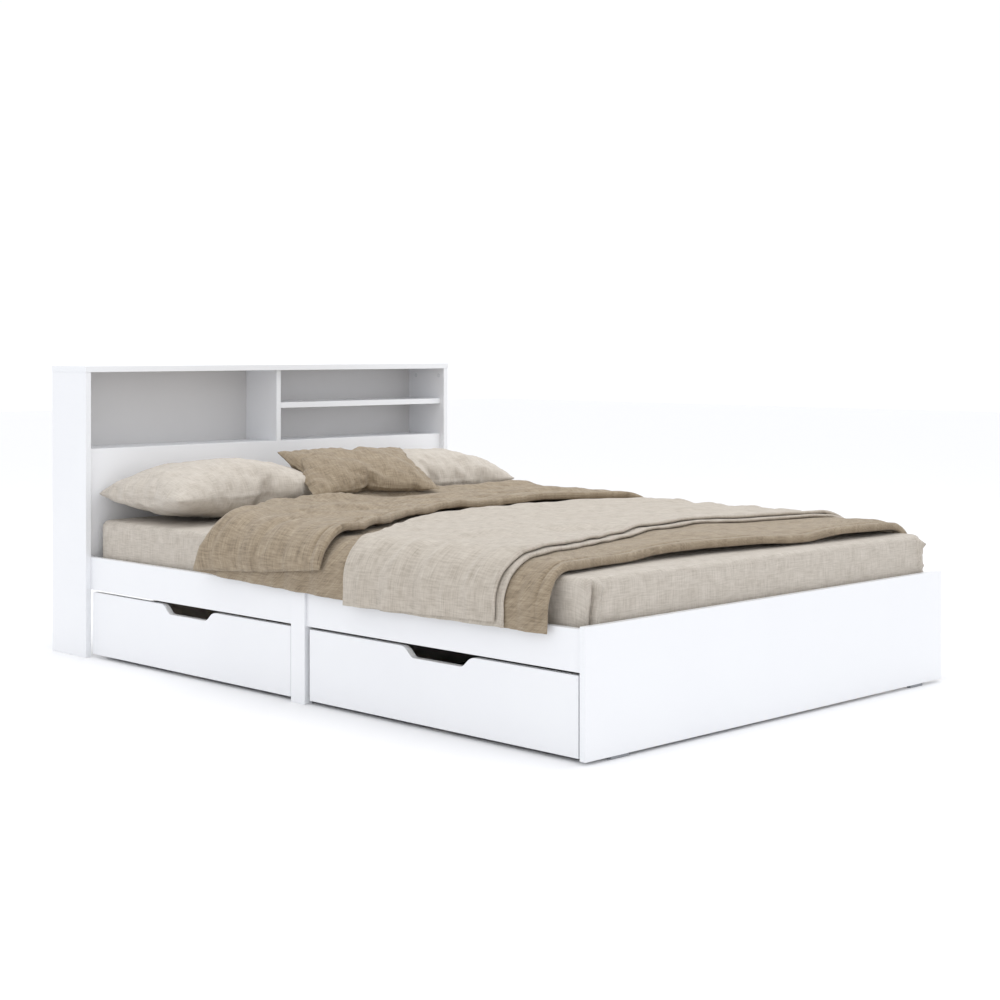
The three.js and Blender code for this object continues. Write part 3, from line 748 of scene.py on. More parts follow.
@dataclass
class Headboard:
    """Bookcase headboard: side panels, top, apron, shelves, nailed back sheet and cam fittings."""

    joinery: Joinery
    kit: FixingKit
    cam_radius: float = 7.5 * MM
    cam_drop: float = 25 * MM
    cam_insets: tuple[float, float] = (27 * MM, 146 * MM)
    nail_step: float = 95 * MM
    nail_inset: float = 9 * MM

    def build(self) -> None:
        """Builds the boards, the cam covers and the nails."""
        for side in ("left", "right"):
            self.joinery.board(f"headboard_side_{side}")
        for node in ("headboard_top", "headboard_apron", "headboard_divider", "headboard_shelf"):
            self.joinery.board(node)
        # The floor shelf's darker inside board and the grey back sheet paint the shade inside the shelf
        # compartments.
        self.joinery.board("headboard_floor_shelf", "inner_board", inner=True)
        self.joinery.plain("headboard_back_sheet", "panel", self.joinery.finishes.backing, "inner_board")
        self.build_cams()
        self.build_nails()

    def build_cams(self) -> None:
        """Sets a cam cover under the top panel at each joint with a side panel."""
        r = self.cam_radius
        cap = turned_shape("cam_cap", [(0, -0.1 * MM), (r, -0.1 * MM), (r, 0.6 * MM), (0.86 * r, 1.0 * MM),
                                       (0.3 * r, 1.0 * MM), (0.22 * r, 0.5 * MM), (0, 0.5 * MM)], 32)
        points, turns = [], []
        for side in Side:
            low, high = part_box(f"headboard_side_{side.name.lower()}")
            inner_face = low.x if side is Side.RIGHT else high.x
            for inset in self.cam_insets:
                points.append((inner_face, low.y + inset, high.z - self.cam_drop))
                turns.append((0, -side.value * math.pi / 2, 0))
        caps = self.kit.set_out("headboard_cam_covers", cap, points, turns, self.joinery.finishes.white)
        place(caps, ROOT, "white_board")

    def build_nails(self) -> None:
        """Sets nail heads round the back sheet."""
        low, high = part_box("headboard_back_sheet")
        head = turned_shape("nail_head", [(0, -0.2 * MM), (2.6 * MM, -0.2 * MM), (2.6 * MM, 0.3 * MM),
                                          (1.8 * MM, 0.8 * MM), (0, 0.9 * MM)], 12)
        across = np.linspace(low.x + self.nail_inset, high.x - self.nail_inset,
                             round((high.x - low.x) / self.nail_step) + 1)
        points = [(x, high.y, z) for x in across for z in (low.z + self.nail_inset, high.z - self.nail_inset)]
        turns = [(-math.pi / 2, 0, 0)] * len(points)
        nails = self.kit.set_out("back_sheet_nails", head, points, turns, self.joinery.finishes.steel)
        place(nails, ROOT, "grey_plastic")


@dataclass
class PlatformFrame:
    """Footboard, rails, posts, cross panel, cleats, beam, legs and glides."""

    joinery: Joinery

    def build(self) -> None:
        """Builds every fixed board and batten under the mattress."""
        finishes = self.joinery.finishes
        self.joinery.board("footboard")
        for side in ("left", "right"):
            for node in (f"rail_{side}_foot", f"rail_{side}_head", f"post_{side}"):
                self.joinery.board(node)
            self.joinery.plain(f"slat_cleat_{side}", "batten", finishes.birch_along, "birch")
            self.joinery.plain(f"foot_glide_{side}", "moulding", finishes.grey, "grey_plastic")
        # The cross panel takes the darker inside board: painted shade under the bed.
        self.joinery.board("cross_panel", "inner_board", inner=True)
        self.joinery.plain("centre_beam", "batten", finishes.birch_along, "birch")
        for end in DrawerEnd:
            self.joinery.plain(f"beam_leg_{end.value}", "post", finishes.birch_upright, "birch")


@dataclass
class SlatRoll:
    """Thirteen birch slats stapled to two webbing tapes."""

    finishes: Finishes
    kit: FixingKit
    count: int = 13
    slat_width: float = 70 * MM
    thickness: float = 18 * MM
    tape_inset: float = 330 * MM
    tape_width: float = 22 * MM

    def build(self) -> None:
        """Builds the slats, tapes and staples."""
        low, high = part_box("slat_roll")
        slat_bottom = high.z - self.thickness
        work = bmesh.new()
        bmesh.ops.create_cube(work, size=1.0)
        bmesh.ops.scale(work, vec=(high.x - low.x, self.slat_width, self.thickness), verts=work.verts)
        bmesh.ops.translate(work, vec=(0, low.y + self.slat_width / 2, slat_bottom + self.thickness / 2),
                            verts=work.verts)
        bmesh.ops.bevel(work, geom=work.edges[:], offset=3 * MM, segments=3, profile=0.5, affect="EDGES")
        slat = bpy.data.meshes.new("one_slat")
        work.to_mesh(slat)
        work.free()
        host = object_from("slats", slat)
        pitch = (high.y - low.y - self.slat_width) / (self.count - 1)
        values = {"Count": self.count, "Step": (0.0, pitch, 0.0), "Material": self.finishes.birch_across}
        host.data = run_tree(host, row_tree(), values)
        place(host, ROOT, "birch", "slat_roll")
        self.build_tapes(high.x, low.y, pitch, slat_bottom)

    def build_tapes(self, half: float, start: float, pitch: float, under: float) -> None:
        """Builds the webbing tapes and the staples that hold each slat.

        Args:
            half: half the slats' length.
            start: where the first slat starts.
            pitch: distance from slat to slat.
            under: height of the slats' underside.
        """
        points, faces, staples = [], [], []
        steps = 8 * (self.count - 1) + 1
        middles = [start + self.slat_width / 2 + i * pitch for i in range(self.count)]
        for side in Side:
            middle = side.value * (half - self.tape_inset)
            base = len(points)
            for k in range(steps):
                y = middles[0] - 0.02 + (middles[-1] - middles[0] + 0.04) * k / (steps - 1)
                nearest = min(abs(y - m) for m in middles)
                sag = 2.2 * MM * min(1.0, max(0.0, nearest - 0.03) / 0.04)
                for dx in (-0.5, -0.25, 0, 0.25, 0.5):
                    points.append((middle + dx * self.tape_width, y, under - 0.9 * MM - sag))
            faces += [(base + 5 * k + j, base + 5 * k + j + 1, base + 5 * k + j + 6, base + 5 * k + j + 5)
                      for k in range(steps - 1) for j in range(4)]
            staples += [(middle + dx * self.tape_width, y, under - 1.5 * MM)
                        for y in middles for dx in (-0.25, 0.25)]
        tapes = object_from("slat_tapes", mesh_from("slat_tapes", np.array(points), faces))
        thick = tapes.modifiers.new("thickness", "SOLIDIFY")
        thick.thickness = 1.2 * MM
        thick.offset = 0
        tapes.data = applied(tapes)
        tapes.modifiers.clear()
        give(tapes, self.finishes.white)
        place(tapes, ROOT, "white_board")
        wire = turned_shape("staple", [(0, 0), (0.7 * MM, 0), (0.7 * MM, 8 * MM), (0, 8 * MM)], 8)
        wire.transform(Matrix.Translation((0, 0, -4 * MM)))
        turns = [(math.pi / 2, 0, 0)] * len(staples)
        piece = self.kit.set_out("slat_staples", wire, staples, turns, self.finishes.steel)
        place(piece, ROOT, "grey_plastic")


@dataclass
class Drawer:
    """One rolling drawer: front with a hand cut-out, sides, back, bottom, bearer, castors and screws."""

    end: DrawerEnd
    joinery: Joinery
    kit: FixingKit
    wheel_radius: float = 18 * MM
    screw_inset: float = 7.5 * MM
    screw_rise: float = 32 * MM

    def build(self) -> None:
        """Builds the drawer and its four castors."""
        finishes, end = self.joinery.finishes, self.end.value
        self.joinery.board(f"drawer_{end}_front")
        # The sides and back take the darker inside board and the bottom the black hardboard: both paint the shade
        # inside the drawer.
        for node in ("side_a", "side_b", "back"):
            self.joinery.board(f"drawer_{end}_{node}", "inner_board", inner=True)
        self.joinery.plain(f"drawer_{end}_bottom", "sheet", finishes.hardboard, "dark_sheet")
        self.joinery.plain(f"drawer_{end}_bearer", "batten", finishes.birch_across, "birch")
        for spot in ("front_a", "front_b", "rear_a", "rear_b"):
            self.joinery.plain(f"castor_fork_{end}_{spot}", "moulding", finishes.grey, "grey_plastic")
            self.build_wheel(f"castor_wheel_{end}_{spot}")
        self.build_screws()

    def build_wheel(self, node: str) -> None:
        """Builds one wheel: rounded tread, dished web with a rim, and a hub round the axle.

        Args:
            node: the wheel's CAD node.
        """
        low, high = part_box(node)
        half, r = (high.y - low.y) / 2, self.wheel_radius
        bore = 3.4 * MM
        side = [(bore, half), (6 * MM, half), (6.6 * MM, half - 0.6 * MM), (7 * MM, half - 3 * MM),
                (12.4 * MM, half - 3 * MM), (12.8 * MM, half - 0.6 * MM), (13.4 * MM, half),
                (r - 3 * MM, half),
                (r - 1.2 * MM, half - 0.9 * MM), (r - 0.3 * MM, half - 2.4 * MM), (r, half - 4.4 * MM)]
        profile = side + [(radius, -height) for radius, height in reversed(side)] + [side[0]]
        mesh = turned_shape(node + "_roller", profile, 48)
        mesh.transform(Matrix.Translation((low + high) / 2) @ Matrix.Rotation(math.pi / 2, 4, "X"))
        work = bmesh.new()
        work.from_mesh(mesh)
        bmesh.ops.remove_doubles(work, verts=work.verts, dist=0.01 * MM)
        bmesh.ops.recalc_face_normals(work, faces=work.faces)
        work.to_mesh(mesh)
        work.free()
        piece = object_from(node + "_roller", mesh)
        give(piece, self.joinery.finishes.black)
        smooth(mesh, math.radians(40))
        place(piece, body_of(node), "black_plastic", node)

    def build_screws(self) -> None:
        """Sets the screws that hold the drawer's sides to its back."""
        r = 4.5 * MM
        head = turned_shape("screw_head", [(0, -0.2 * MM), (r, -0.2 * MM), (r, 0.2 * MM), (0.9 * r, 0.5 * MM),
                                           (0.45 * r, 0.5 * MM), (0.4 * r, -0.1 * MM), (0, -0.1 * MM)], 24)
        points, turns = [], []
        for name, way in (("side_a", -1), ("side_b", 1)):
            low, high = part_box(f"drawer_{self.end.value}_{name}")
            face = low.y if way < 0 else high.y
            for z in (low.z + self.screw_rise, high.z - self.screw_rise):
                points.append((high.x - self.screw_inset, face, z))
                turns.append((-way * math.pi / 2, 0, 0))
        drawer = f"drawer_{self.end.value}"
        piece = self.kit.set_out(f"{drawer}_screws", head, points, turns, self.joinery.finishes.steel)
        place(piece, drawer, "grey_plastic")


# ------------------------------------------------------------------ cloth


@dataclass(frozen=True)
class Ripples:
    """Soft folds in cloth that run mostly one way, made of waves with set phases."""

    height: float
    length: float
    heading: float
    spread: float
    seed: int
    waves: int = 14
    crease: float = 0.0

    def at(self, u: np.ndarray, v: np.ndarray) -> np.ndarray:
        """Returns how far the folds lift the cloth.

        Args:
            u: distance across the bed, in metres.
            v: distance along the bed, in metres.

        Returns:
            The lift at each place, in metres.
        """
        rng = np.random.default_rng(self.seed)
        total = np.zeros_like(u)
        for _ in range(self.waves):
            angle = math.radians(self.heading + self.spread * rng.normal())
            turns = (u * math.cos(angle) + v * math.sin(angle)) / (self.length * rng.uniform(0.65, 1.7))
            wave = np.sin(2 * math.pi * (turns + rng.uniform()))
            total += (1 - self.crease) * wave + self.crease * (1 - 2 * np.abs(wave) ** 0.7)
        return self.height * total / math.sqrt(self.waves)


def eased_line(knots: list[tuple[float, float]], at: np.ndarray, blur: float = 0.05) -> np.ndarray:
    """Reads a smooth line through a few points.

    Args:
        knots: place and value of each point, in order.
        at: the places to read.
        blur: how far each corner is rounded, in metres.

    Returns:
        The line's value at each place.
    """
    places, values = zip(*knots)
    offsets = np.linspace(-blur, blur, 9)
    return np.mean([np.interp(at + o, places, values) for o in offsets], axis=0)


def fade(value: np.ndarray, start: float, end: float) -> np.ndarray:
    """Returns a smooth step from 0 at start to 1 at end."""
    t = np.clip((value - start) / (end - start), 0, 1)
    return t * t * (3 - 2 * t)


@dataclass(frozen=True)
class DrapeLine:
    """Line across the bed that a cover follows: up outside the rails, over the mattress, and down again."""

    reach: float = 737 * MM
    top: float = 412 * MM
    radius: float = 85 * MM

    def half_length(self, hem: np.ndarray) -> np.ndarray:
        """Returns the distance along the line from the middle of the bed to a hem at that height."""
        return self.reach - self.radius + self.radius * math.pi / 2 + (self.top - self.radius - hem)

    def at(self, along: np.ndarray) -> tuple[np.ndarray, np.ndarray, np.ndarray, np.ndarray]:
        """Returns the line's x and z, and its outward normal's x and z.

        Args:
            along: distance along the line from the middle of the bed, negative on the near side.

        Returns:
            Four arrays of the same shape.
        """
        flat = self.reach - self.radius
        turn = np.clip((np.abs(along) - flat) / self.radius, 0, math.pi / 2)
        drop = np.maximum(0, np.abs(along) - flat - self.radius * math.pi / 2)
        way = np.sign(along)
        x = way * (np.minimum(np.abs(along), flat) + self.radius * np.sin(turn))
        z = self.top - self.radius + self.radius * np.cos(turn) - drop
        return x, z, way * np.sin(turn), np.cos(turn)


def closed_shell(name: str, middle: np.ndarray, thickness: np.ndarray, cloth: np.ndarray) -> bpy.types.Mesh:
    """Gives a grid of points a thickness, with closed edges and the cloth's own coordinates.

    Args:
        name: the mesh's name.
        middle: rows by columns by 3, the middle of the cloth.
        thickness: rows by columns.
        cloth: rows by columns by 2, where each point lies in the flat cloth, in metres.

    Returns:
        A closed mesh with a UV map called cloth.
    """
    rows, columns = thickness.shape
    down = np.gradient(middle, axis=0)
    over = np.gradient(middle, axis=1)
    normal = np.cross(over, down)
    normal /= np.maximum(np.linalg.norm(normal, axis=2, keepdims=True), 1e-12)
    faces_of = [middle + normal * thickness[..., None] / 2, middle - normal * thickness[..., None] / 2]
    points = np.concatenate([face.reshape(-1, 3) for face in faces_of])
    index = np.arange(rows * columns).reshape(rows, columns)
    quads = quads_of(index)
    low = quads[:, ::-1] + rows * columns
    rim = rim_of(index)
    after = np.roll(rim, -1)
    skirt = np.stack([after, rim, rim + rows * columns, after + rows * columns], axis=-1)
    faces = np.concatenate([quads, low, skirt])
    mesh = mesh_from(name, points, faces)
    loops = loop_points(mesh)
    flat = np.tile(cloth.reshape(-1, 2), (2, 1))[loops]
    on_rim = (np.arange(len(loops)) >= 4 * 2 * len(quads)) & (loops >= rows * columns)
    flat[on_rim] += np.tile(thickness.ravel(), 2)[loops][on_rim, None]
    lay_cloth(mesh, flat)
    smooth(mesh, math.radians(75))
    return mesh


@dataclass
class Cover:
    """A cover that lies across the bed in two layers, joined by a fold at its head end.

    Its rows run from the upper layer's loose edge to the fold, round it, and back to the lower layer's
    loose edge.
    """

    name: str
    material: bpy.types.Material
    slot: str
    upper_edge: list[tuple[float, float]]
    fold_edge: list[tuple[float, float]]
    lower_edge: list[tuple[float, float]]
    upper_hem: list[tuple[float, float]]
    lower_hem: list[tuple[float, float]]
    upper_lift: tuple[float, float]
    lower_lift: tuple[float, float]
    thickness: tuple[float, float]
    fold_swell: float
    top_ripples: list[Ripples]
    side_ripples: list[Ripples]
    edge_bead: float
    band: float
    bed_ripples: list[Ripples]
    drop_ripples: list[Ripples]
    nested: float
    line: DrapeLine = DrapeLine()
    columns: int = 230
    body_step: float = 11 * MM
    edge_step: float = 2.5 * MM

    def spacing(self, length: float) -> np.ndarray:
        """Returns distances from a loose edge to the fold, closest together at the edge."""
        fine = np.arange(0, self.band + 8 * MM, self.edge_step)
        rest = np.linspace(fine[-1], length, max(4, round((length - fine[-1]) / self.body_step)))
        return np.concatenate([fine, rest[1:]])

    def layer(self, share: np.ndarray, edge: np.ndarray, fold: np.ndarray, hem: np.ndarray,
              lift: tuple[float, float], across: np.ndarray) -> tuple[np.ndarray, np.ndarray, np.ndarray]:
        """Lays one layer over the drape line.

        Args:
            share: rows, from 0 at the loose edge to 1 at the fold.
            edge: y of the loose edge at each column.
            fold: y of the fold at each column.
            hem: height of the hanging hem at each row.
            lift: how far the layer lies off the line, on top and at the sides.
            across: columns, from -1 at the near hem to 1 at the far hem.

        Returns:
            Distance along the drape line, y, and lift, each rows by columns.
        """
        reach = self.line.half_length(hem)[:, None]
        along = across[None, :] * reach
        y = edge[None, :] + share[:, None] * (fold - edge)[None, :]
        *_, upright = self.line.at(along)
        return along, y, lift[1] + (lift[0] - lift[1]) * upright

    def bedding(self, along: np.ndarray, y: np.ndarray) -> np.ndarray:
        """Lifts the folds that every layer on the bed shares, so that the layers nest.

        Args:
            along: distance along the drape line.
            y: distance along the bed.

        Returns:
            The lift at each place, in metres.
        """
        hanging = fade(np.abs(along), self.line.reach - 2.2 * self.line.radius, self.line.reach)
        top, drop = (np.maximum(sum((r.at(along, y) + 1.2 * r.height for r in ripples), np.zeros_like(y)), 0)
                     for ripples in (self.bed_ripples, self.drop_ripples))
        return top * (1 - hanging) + drop * hanging

    def wrinkles(self, along: np.ndarray, y: np.ndarray) -> np.ndarray:
        """Lifts the cover's own folds, one kind on top and another on the hanging sides.

        Args:
            along: distance along the drape line.
            y: distance along the bed.

        Returns:
            The lift at each place, in metres.
        """
        reach, radius = self.line.reach, self.line.radius
        hanging = fade(np.abs(along), reach - 2.2 * radius, reach + 0.4 * radius)
        top = sum((r.at(along, y) for r in self.top_ripples), np.zeros_like(y))
        sides = sum((r.at(along, y) for r in self.side_ripples), np.zeros_like(y))
        return top * (1 - hanging) + np.maximum(sides, -2 * MM) * hanging

    def build(self) -> bpy.types.Object:
        """Returns the finished cover."""
        across = np.sign(np.linspace(-1, 1, self.columns)) * np.abs(np.linspace(-1, 1, self.columns)) ** 0.96
        place_of = across * self.line.half_length(np.array(300 * MM))
        edges = (self.upper_edge, self.fold_edge, self.lower_edge)
        upper, fold, lower = (eased_line(knots, place_of) for knots in edges)
        parts = []
        for edge, hem, lift, turned in ((upper, self.upper_hem, self.upper_lift, False),
                                        (lower, self.lower_hem, self.lower_lift, True)):
            length = float(np.mean(fold - edge))
            distance = self.spacing(length)
            share = distance / length
            heights = eased_line(hem, share, 0.02)
            along, y, off = self.layer(share, edge, fold, heights, lift, across)
            off = off + self.bedding(along, y)
            own = self.wrinkles(along, y) * fade(distance, -30 * MM, 60 * MM)[:, None]
            off = off + own * (self.nested if turned else 1.0)
            if not turned:
                off = off + self.fold_swell * np.exp(-(((length - distance) / (70 * MM)) ** 2))[:, None]
            bead = np.exp(-(((distance - 5 * MM) / (5 * MM)) ** 2)) * self.edge_bead
            groove = 1 - 0.5 * np.exp(-(((distance - self.band) / (3.5 * MM)) ** 2))
            rounding = np.sqrt(1 - 0.9 * (1 - np.clip(distance / (8 * MM), 0, 1)) ** 2)
            part = [along, y, off, np.tile(((groove + bead) * rounding)[:, None], (1, self.columns))]
            parts.append([p[::-1] if turned else p for p in part])
        (ua, uy, uo, ut), (la, ly, lo, lt) = parts
        turns = np.linspace(0, math.pi, 9)[1:-1, None]
        gap = (uo[-1] - lo[0])[None, :]
        fa = ua[-1] + (la[0] - ua[-1]) * (turns / math.pi)
        fy = uy[-1] + gap / 2 * np.sin(turns)
        fo = (uo[-1] + lo[0])[None, :] / 2 + gap / 2 * np.cos(turns)
        along, y, off = (np.concatenate(s) for s in ((ua, fa, la), (uy, fy, ly), (uo, fo, lo)))
        shape = np.concatenate([ut, np.ones_like(fa), lt])
        x, z, nx, nz = self.line.at(along)
        middle = np.stack([x + nx * off, y, z + nz * off], axis=-1)
        thick = (self.thickness[1] + (self.thickness[0] - self.thickness[1]) * nz) * shape
        rim = np.minimum(np.arange(self.columns), np.arange(self.columns)[::-1])
        thick = thick * (0.45 + 0.55 * np.sqrt(np.clip(rim / 2.0, 0, 1)))[None, :]
        run = np.concatenate([np.zeros((1, self.columns)),
                              np.cumsum(np.linalg.norm(np.diff(middle, axis=0), axis=2), axis=0)])
        mesh = closed_shell(self.name, middle, thick, np.stack([along, run], axis=-1))
        piece = object_from(self.name, mesh)
        give(piece, self.material)
        self.cut = (float(2 * np.mean(np.abs(along[:, 0]))), float(np.mean(run[-1])))
        return piece


@dataclass
class Pillow:
    """A filled pillow: two panels sewn together, blown up, scaled to its size and laid by its CAD solid."""

    name: str
    node: str
    material: bpy.types.Material
    slot: str
    width: float
    depth: float
    thickness: float
    fill: float
    tilt: float = 0.0
    turn: float = 0.0
    moved: tuple[float, float, float] = (0.0, 0.0, 0.0)
    sunk: float = 0.0
    bow: float = 0.08
    pressure: float = 6.0
    frames: int = 24
    cells: int = 44
    seed: int = 3

    def envelope(self) -> bpy.types.Mesh:
        """Returns the two flat panels, sewn round their border."""
        wide, deep = self.cells, max(8, round(self.cells * self.depth / self.width))
        u, v = np.meshgrid(np.linspace(-1, 1, wide + 1), np.linspace(-1, 1, deep + 1), indexing="ij")
        rng = np.random.default_rng(self.seed)
        slack = 1.12
        swell = 0.16 * self.thickness * (1 - u**4) * (1 - v**4)
        jitter = 0.0012 * rng.normal(size=u.shape)
        x = u * self.width / 2 * slack * (1 + self.bow * self.depth / self.width * (1 - v**2))
        y = v * self.depth / 2 * slack * (1 + self.bow * self.width / self.depth * (1 - u**2))
        upper = np.stack([x, y, swell + jitter], axis=-1).reshape(-1, 3)
        lower = np.stack([x, y, -swell + jitter[::-1]], axis=-1).reshape(-1, 3)
        border = (np.abs(u) == 1) | (np.abs(v) == 1)
        upper[border.ravel(), 2] = 0
        index = np.arange(upper.shape[0]).reshape(u.shape)
        under = index + upper.shape[0]
        under[border] = index[border]
        points = np.concatenate([upper, lower])
        faces = []
        for grid, turned in ((index, False), (under, True)):
            quads = quads_of(grid, flipped=True)
            faces.append(quads[:, ::-1] if turned else quads)
        faces = np.concatenate(faces)
        used, renamed = np.unique(faces, return_inverse=True)
        mesh = mesh_from(self.name, points[used], renamed.reshape(-1, 4))
        lay_cloth(mesh, points[used][:, :2][loop_points(mesh)])
        return mesh

    def blow_up(self, piece: bpy.types.Object) -> None:
        """Fills the envelope by cloth simulation and keeps the result as its mesh.

        Args:
            piece: the flat envelope.
        """
        cloth = piece.modifiers.new("cloth", "CLOTH")
        settings = cloth.settings
        settings.quality = 6
        settings.mass = 0.25
        settings.tension_stiffness = settings.compression_stiffness = 18
        settings.shear_stiffness = 8
        settings.bending_stiffness = 0.4
        settings.use_pressure = True
        settings.uniform_pressure_force = self.pressure
        settings.effector_weights.gravity = 0
        settings.tension_damping = settings.compression_damping = settings.shear_damping = 12
        cloth.collision_settings.use_collision = False
        scene = bpy.context.scene
        scene.frame_start, scene.frame_end = 1, self.frames
        cloth.point_cache.frame_start, cloth.point_cache.frame_end = 1, self.frames
        for step in range(1, self.frames + 1):
            scene.frame_set(step)
        mesh = applied(piece)
        piece.modifiers.clear()
        piece.data = mesh
        scene.frame_set(1)

    def puckered(self, mesh: bpy.types.Mesh, points: np.ndarray) -> np.ndarray:
        """Adds the seam's ridge, the puckers that run in from it, and a few long soft creases.

        Args:
            mesh: the blown-up pillow, with its cloth coordinates.
            points: its points, about its middle.

        Returns:
            The moved points.
        """
        flat = np.empty(len(mesh.loops) * 2, np.float32)
        mesh.uv_layers["cloth"].data.foreach_get("uv", flat)
        cloth = np.zeros((len(points), 2))
        cloth[loop_points(mesh)] = flat.reshape(-1, 2)
        half = np.abs(cloth).max(0)
        inset = half - np.abs(cloth)
        near = inset.min(axis=1)
        across = np.where(inset[:, 0] < inset[:, 1], cloth[:, 1], cloth[:, 0])
        move_points(mesh, points)
        normals = normals_of(mesh)
        pucker = Ripples(2.6 * MM, 36 * MM, 0, 0, self.seed + 50, crease=0.4).at(across, near)
        creases = Ripples(4.4 * MM, 120 * MM, 25, 26, self.seed + 60, crease=0.5).at(*cloth.T)
        lift = pucker * np.exp(-near / (60 * MM)) * fade(near, 0, 12 * MM)
        lift += creases * fade(near, 10 * MM, 90 * MM)
        ridge = 3.5 * MM * np.exp(-((near / (3.5 * MM)) ** 2))
        outward = np.concatenate([points[:, :2], np.zeros((len(points), 1))], axis=1)
        outward /= np.maximum(np.linalg.norm(outward, axis=1, keepdims=True), 1e-9)
        return points + normals * lift[:, None] + outward * ridge[:, None]

    def build(self) -> bpy.types.Object:
        """Returns the finished pillow in place."""
        piece = object_from(self.name, self.envelope())
        self.blow_up(piece)
        fine = piece.modifiers.new("fine", "SUBSURF")
        fine.levels = fine.render_levels = 1
        piece.data = applied(piece)
        piece.modifiers.clear()
        mesh = piece.data
        points = points_of(mesh)
        span = points.max(0) - points.min(0)
        points = (points - (points.max(0) + points.min(0)) / 2) / span
        points *= np.array([self.width, self.depth, self.thickness])
        points = self.puckered(mesh, points)
        low = points[:, 2] < 0
        points[low, 2] *= 1 - self.sunk
        tilt = Matrix.Rotation(math.radians(self.tilt), 3, "X")
        turn = Matrix.Rotation(math.radians(self.turn), 3, "Z") @ tilt
        points = points @ np.array(turn).T
        box_low, box_high = (np.array(corner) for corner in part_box(self.node))
        points += (box_low + box_high) / 2 - (points.max(0) + points.min(0)) / 2
        points[:, 2] -= points[:, 2].min() - box_low[2]
        points += np.array(self.moved)
        move_points(mesh, points)
        smooth(mesh)
        give(piece, self.material)
        return place(piece, ROOT, self.slot, self.node)


